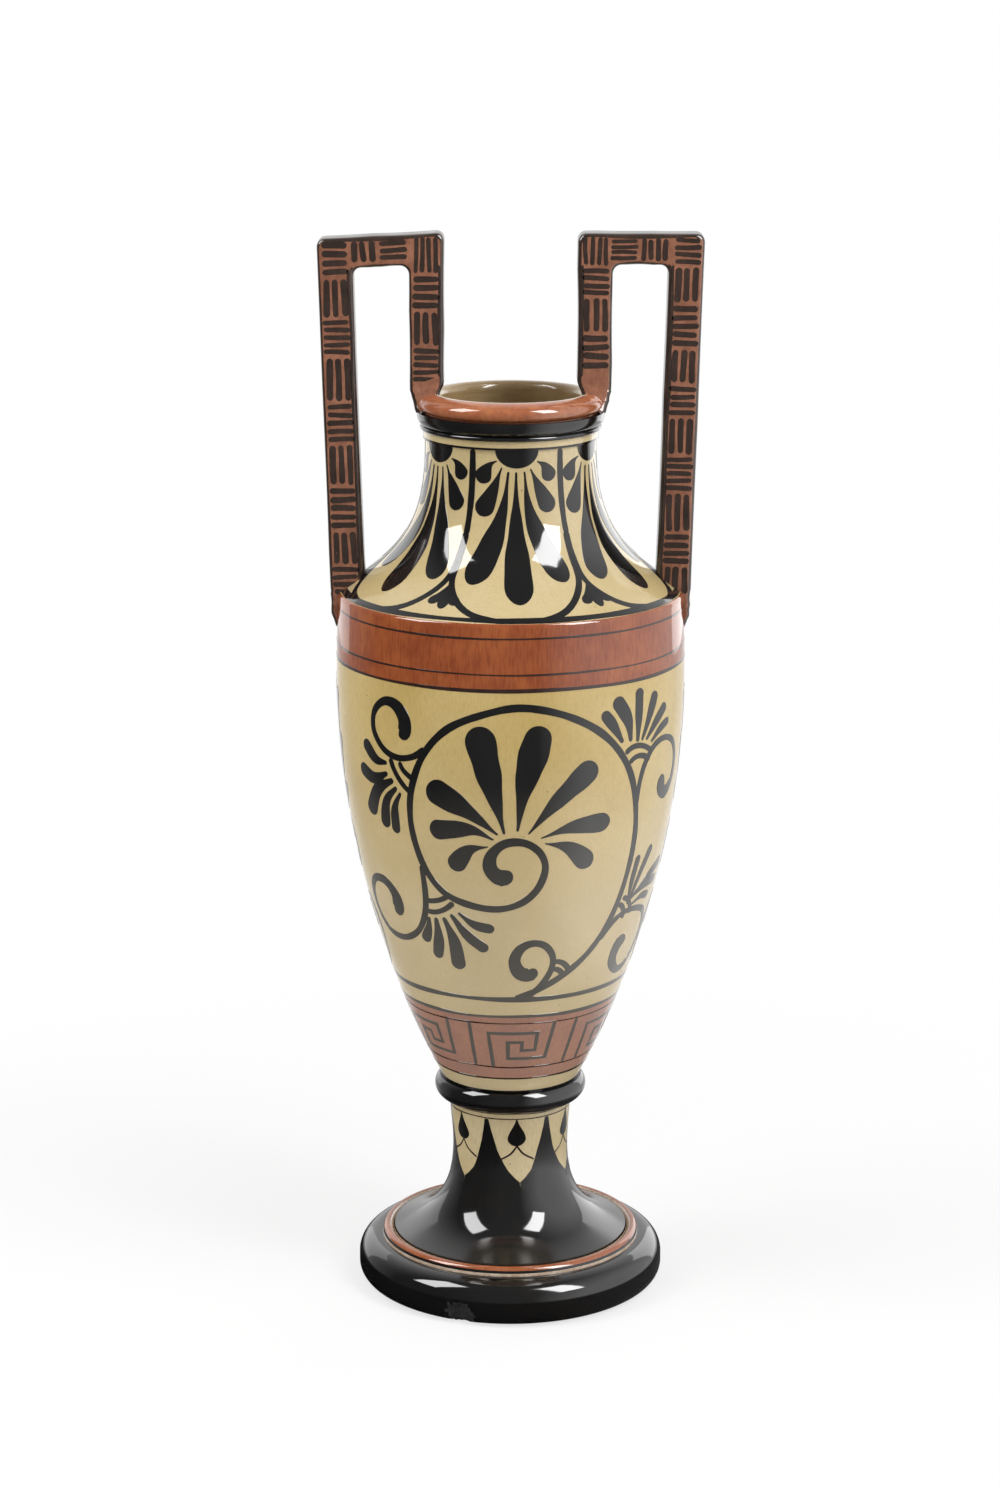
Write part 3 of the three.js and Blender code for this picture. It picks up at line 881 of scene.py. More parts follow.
@dataclass
class Foot:
    """The round plinth that the vase stands on, with the orange bead on its inner edge."""

    radius: float = 72.8
    height: float = 21.2
    lower_round: float = 7.0
    straight: float = 4.0
    contact_width: float = 8.0
    bevel: float = 1.2
    bead_radius: float = 61.5
    bead_width: float = 5.5
    bead_height: float = 4.0
    seat_depth: float = 7.5
    seat_width: float = 7.0
    tongue_width: float = 3.0
    chip_angle: float = -19.4
    chip_height: float = 5.0
    chip_width: float = 14.0
    chip_reach: float = 6.0
    chip_depth: float = 1.9

    @property
    def bead_top(self) -> float:
        """Height of the bead's crest."""
        return self.height + self.bead_height

    def off_chip(self, a: Array, h: Array) -> Array:
        """Tells how far places are from the flake's middle, as a share of its ragged reach."""
        across = ((a - self.chip_angle + 180) % 360 - 180) * math.radians(1) * self.radius
        ragged = 1 + 0.12 * np.sin(2.1 * across) + 0.1 * np.sin(1.3 * h + across)
        return np.hypot(across / (self.chip_width / 2), (h - self.chip_height) / self.chip_reach) / ragged

    def chipped(self, r: Array, h: Array) -> Array:
        """Knocks a flake out of the lower edge: a shallow bowl with a steep rim."""
        a = np.linspace(0, 360, COLUMNS, endpoint=False)
        bowl = self.chip_depth * np.sqrt(np.clip(1 - self.off_chip(a[None, :], h) ** 2, 0, 1))
        return np.where(r > self.bead_radius, r - bowl, r)

    def scarred(self, patch: Patch, finish: int) -> None:
        """Gives the faces inside the flake's rim the scar's finish."""
        middle = patch.corners[np.array(patch.faces)].mean(axis=1)
        angle = np.degrees(np.arctan2(middle[:, 0], -middle[:, 1]))
        inside = (self.off_chip(angle, middle[:, 2]) < 1) & (np.hypot(*middle[:, :2].T) > self.bead_radius)
        patch.finishes = np.where(inside, finish, patch.finishes).tolist()

    def build(self, bench: Bench) -> None:
        """Makes the plinth's skin."""
        side_top = self.lower_round + self.straight
        low = (self.radius - self.lower_round, self.lower_round)
        lower = arc(low, self.lower_round - SLIP, self.lower_round, -90, 0, 12)
        side = line((self.radius - SLIP, self.lower_round + self.straight / 2))
        upper = arc((self.bead_radius, side_top), self.radius - self.bead_radius - SLIP,
                    self.height - side_top, 0, 90, 18)
        bead = arc((self.bead_radius - self.bead_width / 2, self.height), self.bead_width / 2,
                   self.bead_height, 0, 160, 16)
        rebate = self.bead_radius - self.bead_width
        seat = self.bead_top - self.seat_depth
        ledge = rebate - self.seat_width
        inner_edge = self.radius - self.lower_round - self.contact_width
        outline, finishes = outline_of([
            Stretch(line((inner_edge + self.bevel, 0.0)), 2),
            Stretch(lower, 0), Stretch(side, 0), Stretch(upper, 0),
            # the pale stretches on both sides of the bead are partly worn slip and partly a painted highlight
            Stretch(bead[:3], 3), Stretch(bead[2:5], 0), Stretch(bead[4:12], 1), Stretch(bead[11:], 3),
            Stretch(line((rebate, self.bead_top - 1), (rebate, seat), (ledge, seat),
                         (ledge, seat - self.tongue_width), (inner_edge, self.bevel)), 2),
        ])
        patch = turn(outline, finishes, self.chipped)
        self.scarred(patch, 4)
        bench.put("foot_plinth_skin", patch, (BLACK, ORANGE, BARE, WORN_AND_HIGHLIGHT, SCAR),
                  ("foot_plinth",))


@dataclass
class Stem:
    """The flared stem: black below, cream above, where the leaf pattern stands."""

    rim_radius: float = 55.7
    base: float = 25.2
    seat: float = 17.7
    waist_radius: float = 27.4
    waist_rise: float = 41.0
    top_radius: float = 28.9
    top_rise: float = 24.1
    flare_steps: int = 40
    wall: float = 6.5
    spigot: float = 3.0
    knop_height: float = 10.9
    cream_from: float = 53.5
    petals: int = 6
    petal_centre: float = 6.5
    seed_width: float = 9.2
    arc_width: float = 1.0

    @property
    def waist(self) -> float:
        """Height of the waist."""
        return self.base + self.waist_rise

    @property
    def top(self) -> float:
        """Height of the knop's base."""
        return self.waist + self.top_rise

    def outer(self) -> Array:
        """The flare and the swell above the waist."""
        spread = self.rim_radius - self.waist_radius
        flare = bezier((self.rim_radius, self.base),
                       (self.waist_radius + 0.55 * spread, self.base + 0.11 * self.waist_rise),
                       (self.waist_radius, self.base + 0.27 * self.waist_rise),
                       (self.waist_radius, self.waist), self.flare_steps)
        swell = bezier((self.waist_radius, self.waist),
                       (self.waist_radius, self.waist + 0.4 * self.top_rise),
                       (self.top_radius, self.top - 0.3 * self.top_rise),
                       (self.top_radius, self.top), 16)
        return np.vstack([flare, swell[1:]]) - [SLIP, 0.0]

    def build(self, bench: Bench) -> None:
        """Makes the stem's skin and the leaf pattern round it."""
        outer = self.outer()
        inside = inward(outer[:self.flare_steps + 1], self.wall)
        bore = self.waist_radius - self.wall
        inside = inside[inside[:, 1] > self.seat + self.wall / 2]
        inside[:, 0] = np.maximum(inside[:, 0], bore)
        rim = self.rim_radius
        outline, finishes = outline_of([
            Stretch(line((rim - self.wall, self.seat)), 2),
            Stretch(line((rim, self.seat)), 0),
            Stretch(between(outer, self.base, self.cream_from), 0),
            Stretch(between(outer, self.cream_from, self.top), 1),
            Stretch(line((bore + self.spigot, self.top), (bore + self.spigot, self.top + self.knop_height),
                         (bore, self.top + self.knop_height)), 2),
            Stretch(inside[::-1], 2),
        ])
        bench.put("pedestal_stem_skin", turn(outline, finishes), (DUSTY_BLACK, PALE_CREAM, BARE),
                  ("pedestal_stem",))
        self.paint(bench, ThrownWall(outer))

    def paint(self, bench: Bench, wall: ThrownWall) -> None:
        """Paints the black ground between the leaves, their seeds, arcs and the rings above.

        The ground's half width at a height is half the pattern's pitch less the leaf's half width there.
        """
        pitch = 360 / self.petals
        heights = np.array([52.0, 55.2, 57.4, 60.8, 63.8, 67.0, 71.0, 75.6, 81.0, 86.6])
        leaf_left = np.array([0.0, 0.0, 4.6, 10.2, 13.4, 16.3, 19.4, 22.1, 25.2, 27.6])
        leaf_right = np.array([0.0, 0.0, 5.6, 12.4, 15.6, 18.4, 21.4, 24.0, 26.4, 28.2])
        fine = np.linspace(heights[0], heights[-1], 44)
        right_of = np.interp(fine, heights, leaf_right)
        left_of = np.interp(fine, heights, leaf_left)
        grounds, seeds, arcs = [], [], []
        for k in range(self.petals):
            centre = self.petal_centre + k * pitch
            tip_lean = 3.5 * np.clip(1 - (fine - heights[0]) / 18, 0, 1)
            left = centre + right_of + tip_lean
            right = centre + pitch - left_of + tip_lean
            grounds.append(field_patch(wall, fine, left, right))
            seed = about(centre, (-0.4, 87.0), (-0.3, 80), (0.0, 73.2))
            seeds.append(Mark(seed, self.seed_width, Touch.PETAL).lay(wall))
            for side in (-1, 1):
                below = about(centre, (0.0, 73.2), (side * 6.5, 69.2), (side * 17.6, 66.0))
                arcs.append(Mark(below, self.arc_width).lay(wall))
        bench.put("stem_black_ground", Patch.joined(grounds), (BLACK,))
        bench.put("stem_seed_drops", Patch.joined(seeds), (BLACK,))
        rings = [ring_line(wall, 89.6, 1.1, 301), ring_line(wall, 87.0, 0.7, 303)]
        bench.put("stem_fine_lines", Patch.joined([*arcs, *rings]), (BROWN_LINE,))


@dataclass
class Knop:
    """The black half-round ring round the joint of stem and body."""

    radius: float = 36.1
    bulge: float = 6.6
    height: float = 10.9
    centre_rise: float = 6.2
    base: float = 90.3
    bore: float = 24.2
    black_from: float = -62.0
    black_to: float = 49.2

    def build(self, bench: Bench) -> None:
        """Makes the knop's skin: black round the bulge, with a cream sliver below."""
        centre = (self.radius - self.bulge, self.base + self.centre_rise)
        reach, rise = self.bulge - SLIP, self.centre_rise
        outline, finishes = outline_of([
            Stretch(line((self.bore, self.base)), 1),
            Stretch(arc(centre, reach, rise, -90, self.black_from, 4), 1),
            Stretch(arc(centre, reach, rise, self.black_from, self.black_to, 18), 0),
            Stretch(line((self.bore, self.base + self.height)), 1),
        ])
        bench.put("knop_ring_skin", turn(outline, finishes), (BLACK, PALE_CREAM), ("knop_ring",))


@dataclass
class Body:
    """The egg-shaped body with its painted field, bands and fret."""

    base: float = 101.2
    foot_radius: float = 32.4
    radius: float = 80.95
    rise: float = 195.6
    top_draw: float = 1.1
    top_rise: float = 36.8
    wall_thickness: float = 6.5
    floor: float = 10.0
    black_foot: float = 1.7
    red_foot: Point = (110.2, 145.6)
    red_band_foot: float = 306.5

    @property
    def widest(self) -> float:
        """Height of the widest ring."""
        return self.base + self.rise

    @property
    def top(self) -> float:
        """Height of the shoulder's edge."""
        return self.widest + self.top_rise

    def outer(self) -> Array:
        """The swell from the knop to the widest ring and the nearly straight wall above it."""
        swell = self.radius - self.foot_radius
        lower = bezier((self.foot_radius, self.base),
                       (self.foot_radius + 0.43 * swell, self.base + 0.2 * self.rise),
                       (self.radius, self.widest - 0.42 * self.rise),
                       (self.radius, self.widest), 110)
        upper = bezier((self.radius, self.widest), (self.radius, self.widest + self.top_rise / 3),
                       (self.radius - self.top_draw / 2, self.widest + 2 * self.top_rise / 3),
                       (self.radius - self.top_draw, self.top), 18)
        return np.vstack([lower, upper[1:]]) - [SLIP, 0.0]

    def build(self, bench: Bench) -> ThrownWall:
        """Makes the body's skin.

        Returns:
            The wall that takes the paint.
        """
        outer = self.outer()
        inner = inward(outer, self.wall_thickness)[::4]
        floor_top = self.base + self.floor
        low, high = floor_top + self.wall_thickness, self.top - self.wall_thickness
        inner = inner[(inner[:, 1] > low) & (inner[:, 1] < high)]
        mouth = self.radius - self.top_draw - self.wall_thickness
        outline, finishes = outline_of([
            Stretch(line((0.0, self.base)), 2),
            Stretch(between(outer, self.base, self.base + self.black_foot), 3),
            Stretch(between(outer, self.base + self.black_foot, self.red_foot[0]), 0),
            Stretch(between(outer, *self.red_foot), 1),
            Stretch(between(outer, self.red_foot[1], self.red_band_foot), 0),
            Stretch(between(outer, self.red_band_foot, self.top), 1),
            Stretch(line((mouth, self.top)), 2),
            Stretch(inner[::-1], 2),
            Stretch(line((inner[0, 0] - self.wall_thickness, floor_top), (0.0, floor_top)), 2),
        ])
        bench.put("body_belly_skin", turn(outline, finishes),
                  (SHEENED_CREAM, SHEENED_TERRACOTTA, INSIDE, BLACK), ("body_belly",))
        return ThrownWall(outer)


@dataclass
class ShoulderNeck:
    """The sloping shoulder that sweeps up into the neck."""

    base: float = 333.6
    edge: float = 2.8
    edge_radius: float = 79.85
    radius: float = 39.4
    rise: float = 68.8
    top: float = 407.4
    wall_thickness: float = 6.5
    spigot_gap: float = 0.3
    tongue_height: float = 5.0
    tongue_width: float = 3.0

    def outer(self) -> Array:
        """The hollow curve from the shoulder's edge to the straight neck."""
        foot = self.base + self.edge
        start = self.edge_radius - self.edge / 2
        slope = start - self.radius
        hollow = bezier((start, foot), (self.radius + 0.327 * slope, foot + 0.269 * self.rise),
                        (self.radius, foot + 0.42 * self.rise), (self.radius, foot + self.rise), 80)
        return np.vstack([hollow, [self.radius, self.top]]) - [SLIP, 0.0]

    def build(self, bench: Bench) -> ThrownWall:
        """Makes the shoulder's and neck's skin.

        Returns:
            The wall that takes the paint.
        """
        outer = self.outer()
        edge = arc((self.edge_radius - self.edge / 2, self.base), self.edge / 2 - SLIP, self.edge, 0, 80, 8)
        spigot = self.edge_radius - self.wall_thickness - self.spigot_gap
        bore = self.radius - self.wall_thickness
        inner = inward(outer, self.wall_thickness)[::3]
        inner = inner[(inner[:, 0] < spigot - self.wall_thickness) & (inner[:, 1] < self.top - 1)]
        inner[:, 0] = np.maximum(inner[:, 0], bore)
        tongue = bore + self.tongue_width
        outline, finishes = outline_of([
            Stretch(line((spigot, self.base)), 2),
            Stretch(edge[:8], 1), Stretch(edge[8:], 0), Stretch(outer, 0),
            Stretch(line((tongue, self.top), (tongue, self.top + self.tongue_height),
                         (bore, self.top + self.tongue_height)), 2),
            Stretch(inner[::-1], 2),
            Stretch(line((spigot - self.wall_thickness, self.base - self.tongue_height),
                         (spigot, self.base - self.tongue_height)), 2),
        ])
        bench.put("shoulder_neck_skin", turn(outline, finishes), (PALE_CREAM, TERRACOTTA, INSIDE),
                  ("shoulder_neck",))
        return ThrownWall(outer)


@dataclass
class Collar:
    """The cream ledge, the small black bead and the black half-round moulding under the lip."""

    base: float = 407.4
    ledge_radius: float = 40.3
    ledge_height: float = 3.8
    radius: float = 43.1
    height: float = 8.3
    bead_height: float = 2.3
    bead_bulge: float = 1.4
    roll_end: float = 14.0
    line_width: float = 1.0
    neck_bore: float = 32.9
    bore: float = 31.9
    tongue_height: float = 5.0
    tongue_width: float = 3.0
    gap: float = 0.3

    def build(self, bench: Bench) -> None:
        """Makes the collar's skin."""
        moulding = self.base + self.ledge_height
        top = moulding + self.height
        split = moulding + self.bead_height
        bead = arc((self.ledge_radius - SLIP, moulding + self.bead_height / 2), self.bead_bulge,
                   self.bead_height / 2, -90, 80, 8)
        roll_half = (top - split) / (1 + math.sin(math.radians(self.roll_end)))
        roll = arc((self.ledge_radius - SLIP, split + roll_half), self.radius - self.ledge_radius,
                   roll_half, -85, self.roll_end, 14)
        recess = self.neck_bore + self.tongue_width + self.gap
        lip_recess = self.bore + self.tongue_width
        lip_seat = top - self.tongue_height / 2 - self.gap
        neck_seat = self.base + self.tongue_height + self.gap
        outline, finishes = outline_of([
            Stretch(line((recess, self.base)), 2),
            Stretch(line((self.ledge_radius - SLIP, self.base)), 0),
            Stretch(line((self.ledge_radius - SLIP, self.base + self.line_width)), 1),
            Stretch(bead, 0), Stretch(roll, 0),
            Stretch(line((lip_recess, top), (lip_recess, lip_seat), (self.bore, lip_seat),
                         (self.bore, neck_seat), (recess, neck_seat)), 2),
        ])
        bench.put("collar_ring_skin", turn(outline, finishes), (BLACK, PALE_CREAM, INSIDE),
                  ("collar_ring",))


@dataclass
class Lip:
    """The rounded red lip ring."""

    base: float = 419.5
    height: float = 8.6
    radius: float = 43.0
    crest_radius: float = 35.2
    mouth_radius: float = 31.6
    bulge_rise: float = 3.9
    tongue: float = 34.6
    tongue_depth: float = 2.5

    def build(self, bench: Bench) -> None:
        """Makes the lip's skin: red outside, buff inside, and pale on the crest, partly worn slip and partly
        a painted highlight.
        """
        side = arc((self.crest_radius, self.base + self.bulge_rise), self.radius - self.crest_radius - SLIP,
                   self.height - self.bulge_rise, -50, 90, 24)
        round_in = self.crest_radius - self.mouth_radius
        inside = arc((self.crest_radius, self.base + self.height - round_in), round_in, round_in, 90, 180, 10)
        outline, finishes = outline_of([
            Stretch(line((self.tongue, self.base), (side[0, 0], self.base)), 0),
            # the crest's pale finish is partly worn slip and partly a painted highlight
            Stretch(side[:-1], 0), Stretch(side[-2:], 2), Stretch(inside[:2], 2), Stretch(inside[1:], 1),
            Stretch(line((self.mouth_radius, self.base - self.tongue_depth),
                         (self.tongue, self.base - self.tongue_depth)), 1),
        ])
        bench.put("mouth_lip_skin", turn(outline, finishes), (LIP_RED, INSIDE, WORN_AND_HIGHLIGHT),
                  ("mouth_lip",))


# Handles


class Lay(Enum):
    """Which way a block of basket strokes runs on a strip."""

    ACROSS = "strokes across the strip"
    ALONG = "strokes along the strip"


@dataclass(frozen=True)
class Basket:
    """Blocks of strokes on one strip, by turns across and along it.

    Attributes:
        ends: Distances of the blocks' borders along the strip, from its start, mm.
        first: Which way the first block runs.
        along: Strokes side by side in a block that runs along: in the first such block, then in the rest.
    """

    ends: tuple[float, ...]
    first: Lay
    along: tuple[int, int] = (3, 3)


def meeting(before: Array, corner: Array, after: Array, near: float, far: float) -> Array:
    """Finds the corner of a line drawn beside a bent line.

    With the two legs' left-hand normals a and b, it is corner + x, where a.x is the first leg's distance
    and b.x the second leg's.
    """
    legs = np.array([corner - before, after - corner])
    legs /= np.linalg.norm(legs, axis=1, keepdims=True)
    normals = np.column_stack([-legs[:, 1], legs[:, 0]])
    return corner + np.linalg.solve(normals, np.array([near, far]))


def rounded(corners: Array, radii: Sequence[float], straight: int, bend: int) -> Array:
    """Rounds the corners of a line and samples it with a fixed number of points.

    At a corner that turns by an angle t, the arc of radius r starts r tan(t/2) before it, and its points
    follow the quadratic curve through the corner, which is close to the arc for bends up to a right angle.

    Args:
        corners: The line's corners, one row each.
        radii: The radius at each inner corner, mm.
        straight: Steps on each straight.
        bend: Steps on each bend.

    Returns:
        The points.
    """
    points = []
    start = corners[0]
    t = np.linspace(0, 1, bend + 1)[:, None]
    for before, corner, after, radius in zip(corners, corners[1:], corners[2:], radii):
        a, b = before - corner, after - corner
        a, b = a / np.linalg.norm(a), b / np.linalg.norm(b)
        cut = radius * math.tan((math.pi - math.acos(float(np.clip(a @ b, -1, 1)))) / 2)
        first, last = corner + a * cut, corner + b * cut
        points.append(start + (first - start) * np.linspace(0, 1, straight + 1)[:-1, None])
        weight = 0.83
        w0, w1, w2 = (1 - t) ** 2, 2 * weight * t * (1 - t), t**2
        points.append(((w0 * first + w1 * corner + w2 * last) / (w0 + w1 + w2))[:-1])
        start = last
    points.append(start + (corners[-1] - start) * np.linspace(0, 1, straight + 1)[:, None])
    return np.vstack(points)


@dataclass
class Handle:
    """One square-cornered handle: three clay strips luted to the lip and the shoulder.

    Outlines are worked out with x away from the axis and are mirrored for the left handle. The strip
    flows into the lip over lip_reach and thins to its tail over tail_reach: the height where that starts
    and the length that it takes.
    """

    prefix: str
    side: float
    bar_drop: float
    baskets: tuple[Basket, Basket, Basket]
    seed: int
    width: float = 16.3
    bar_width: float = 14.3
    depth: float = 16.0
    edge: float = 2.2
    top: float = 500.7
    stroke_pitch: float = 3.8
    inner_x: float = 38.0
    foot_x: float = 75.05
    splay: float = 4.4
    foot_height: float = 333.6
    outer_corner: float = 4.0
    gap_corner: float = 4.0
    lip_radius: float = 43.0
    lip_reach: Point = (436.0, 14.0)
    lip_spread: float = 4.5
    tail_reach: Point = (333.0, 17.0)
    tail_pinch: float = 4.6
    border_width: float = 1.3
    widest_stroke: float = 3.1

    def centre_line(self) -> Array:
        """The strips' middle line from the lip up, across and down to the shoulder."""
        bar = self.top - self.bar_width / 2
        return line((self.inner_x, 430.0), (self.inner_x, bar),
                    (self.foot_x + self.splay, bar - self.bar_drop), (self.foot_x, self.foot_height))

    def edges(self) -> tuple[Array, Array]:
        """Draws the handle's outline and the outline of its gap, with the same number of points.

        Returns:
            The outside and the gap side, from the lip to the tail.
        """
        c = self.centre_line()
        leg, bar = self.width / 2, self.bar_width / 2
        out_in, gap_in = (meeting(*c[:3], k * leg, k * bar) for k in (1, -1))
        out_out, gap_out = (meeting(*c[1:], k * bar, k * leg) for k in (1, -1))
        outside = np.vstack([
            line((35.0, 423.5), (30.0, 433.0)), out_in, out_out,
            line((83.2, 337.0), (82.8, 325.0), (79.0, 314.2))])
        gap = np.vstack([
            line((44.4, 419.8), (46.0, 429.0)), gap_in, gap_out,
            line((67.0, 344.5), (74.5, 333.0), (76.5, 315.0))])
        out_radii = (9.0, self.outer_corner, self.outer_corner, 14.0, 8.0)
        gap_radii = (5.0, self.gap_corner, self.gap_corner, 3.0, 3.0)
        straight, bend = 26, 9
        return rounded(outside, out_radii, straight, bend), rounded(gap, gap_radii, straight, bend)

    def section(self, half: Array, deep: Array) -> Array:
        """Draws the section across the strip, a rounded rectangle with four steps at each corner.

        Args:
            half: Half width at each place along the strip, mm.
            deep: Half depth there, mm.

        Returns:
            Distances across the strip and in depth: two tables of places by corners.
        """
        turns = np.linspace(0, 1080, len(half))
        edge = np.minimum(self.edge, np.minimum(half, deep) * 0.8)
        loops = []
        for p_sign, q_sign, start in ((1, 1, 0), (-1, 1, 90), (-1, -1, 180), (1, -1, 270)):
            for k, share in enumerate((0.0, 0.25, 0.5, 0.75, 1.0)):
                wave = wobble(turns, self.seed + start + k, 9.0) if share in (0.25, 0.75) else 0.0
                a = np.radians(start + share * 90 + wave)
                loops.append([p_sign * (half - edge) + edge * np.cos(a),
                              q_sign * (deep - edge) + edge * np.sin(a)])
        return np.array(loops).transpose(1, 2, 0)

    def build(self, bench: Bench) -> None:
        """Makes the handle's skin and paints it on its front and back.

        The strip widens in depth where it flows into the lip, wraps round it, and narrows in the
        thumb-pressed tail. The broad faces are red, the rest is black, with the rounded edge that looks to
        the axis.
        """
        outside, gap = self.edges()
        turns = np.linspace(0, 360, len(outside))
        sway, gap_sway = (np.abs(wobble(turns, seed, 0.5))[:, None] for seed in (self.seed, self.seed + 9))
        across = outside - gap
        across /= np.linalg.norm(across, axis=1, keepdims=True)
        outside, gap = outside - across * (sway + SLIP), gap + across * gap_sway
        middle = (outside + gap) / 2
        half = np.linalg.norm(outside - gap, axis=1) / 2
        height = middle[:, 1]
        on_lip = np.arange(len(height)) < len(height) / 2
        merged = np.where(on_lip, np.clip((self.lip_reach[0] - height) / self.lip_reach[1], 0, 1), 0)
        tail = np.where(on_lip, 0, np.clip((self.tail_reach[0] - height) / self.tail_reach[1], 0, 1))
        deep = self.depth / 2 - SLIP + self.lip_spread * merged**2 - self.tail_pinch * tail**1.3
        p, q = self.section(half, deep)
        x = middle[:, :1] + across[:, :1] * p - merged[:, None] * q**2 / (2 * self.lip_radius)
        z = middle[:, 1:] + across[:, 1:] * p
        corners = np.stack([self.side * x, q, z], axis=-1)
        count, loop = p.shape
        quads = grid_quads(count, loop, False)
        flip = [0, 3, 2, 1] if self.side > 0 else [0, 1, 2, 3]
        red_front, edge_out, edge_gap = (
            np.isin(np.arange(loop), numbers) for numbers in ((3, 4, 5, 13, 14, 15), (3, 15), (5, 13)))
        black_edge = np.where(on_lip[1:, None], edge_out, edge_gap)
        marks = np.where(red_front & ~black_edge, 0, 1)
        patch = Patch.of_quads(corners.reshape(-1, 3), quads[:, flip], marks.ravel())
        first, last = tuple(range(loop)), tuple(range((count - 1) * loop, count * loop))
        caps = (first, last[::-1]) if self.side > 0 else (first[::-1], last)
        patch.faces += list(caps)
        patch.finishes += [0, 1]
        names = [f"{self.prefix}_{part}" for part in ("inner_leg", "top_bar", "outer_leg")]
        bench.put(f"{self.prefix}_skin", patch, (TERRACOTTA_HANDLED, SATIN_BLACK), names)
        self.paint(bench)

    def paint(self, bench: Bench) -> None:
        """Paints the basket pattern on the front and the back."""
        rng = np.random.default_rng(self.seed)
        c = self.centre_line()
        leg, bar = self.width / 2, self.bar_width / 2
        starts = (c[1] + [0, bar], c[1] + [leg, 0], c[2] + [0, bar])
        ends = (c[0], c[2], c[3])
        halves = (leg, bar, leg)
        for name, depth in (("front", -(self.depth / 2 - SLIP)), ("back", self.depth / 2 - SLIP)):
            face = FlatFace(depth)
            strokes = []
            for basket, start, end, half in zip(self.baskets, starts, ends, halves):
                along = (end - start) / np.linalg.norm(end - start)
                lay = basket.first
                for near, far in zip(basket.ends, basket.ends[1:]):
                    count = basket.along[0 if near < self.width / 2 else 1]
                    if lay is Lay.ACROSS:
                        count = round((far - near) / self.stroke_pitch)
                    first, reach = start + along * near, along * (far - near)
                    strokes += self.block(face, rng, first, reach, half, lay, count)
                    lay = Lay.ALONG if lay is Lay.ACROSS else Lay.ACROSS
                if half == leg:
                    strokes.append(self.border(face, rng, start + along * self.bar_width, end, half))
            bench.put(f"{self.prefix}_{name}_basket_strokes", Patch.joined(strokes), (SATIN_BLACK,))

    def border(self, face: FlatFace, rng: np.random.Generator, start: Array, end: Array,
               half: float) -> Patch:
        """Paints the wavy black line along the edge of a leg that looks towards the axis.

        Args:
            face: The face that takes the paint.
            rng: Source of the hand's unevenness.
            start: Middle of the strip's first end, x and z in mm.
            end: Middle of its last end.
            half: Half width of the strip, mm.

        Returns:
            The line.
        """
        along = (end - start) / np.linalg.norm(end - start)
        beside = np.array([-along[1], along[0]])
        if beside[0] > 0:
            beside = -beside
        edge = half - self.edge - 0.1
        steps = max(int(np.linalg.norm(end - start) / 9), 3)
        share = np.linspace(0, 1, steps + 1)[:, None]
        middle = start + (end - start) * share + beside * (edge + rng.normal(0, 0.22, (steps + 1, 1)))
        return Mark(tuple(tuple(p * [self.side, 1.0]) for p in middle), self.border_width).lay(face)

    def block(self, face: FlatFace, rng: np.random.Generator, start: Array, reach: Array, half: float,
              lay: Lay, count: int) -> list[Patch]:
        """Paints one block of even strokes.

        Args:
            face: The face that takes the paint.
            rng: Source of the hand's unevenness.
            start: Middle of the block's first border, x and z in mm.
            reach: From there to the middle of its last border.
            half: Half width of the strip, mm.
            lay: Which way the strokes run.
            count: Number of strokes.

        Returns:
            The strokes.
        """
        margin, gap, off_axis = 2.1, 0.9, 0.4
        length = float(np.linalg.norm(reach))
        along = reach / length
        beside = np.array([-along[1], along[0]])
        start = start + abs(along[1]) * np.array([off_axis, 0.0])
        room = half - margin
        spans = ((gap / 2, length - gap / 2), (-room, room))
        (low, high), (first, last) = spans if lay is Lay.ACROSS else spans[::-1]
        ahead, aside = (along, beside) if lay is Lay.ACROSS else (beside, along)
        pitch = (high - low) / count
        strokes = []
        for k in range(count):
            middle = low + (k + 0.5) * pitch + rng.normal(0, 0.12)
            tilt = rng.normal(0, 0.2)
            trim_start, trim_end = rng.uniform(-0.3, 0.6, 2)
            sag = rng.normal(0, 0.12)
            a = start + ahead * (middle + tilt) + aside * (first + trim_start)
            b = start + ahead * (middle - tilt) + aside * (last - trim_end)
            places = tuple(tuple(p * [self.side, 1.0]) for p in (a, (a + b) / 2 + ahead * sag, b))
            width = min(pitch * rng.uniform(0.66, 0.78), self.widest_stroke)
            strokes.append(Mark(places, width).lay(face))
        return strokes


# Painting on the body


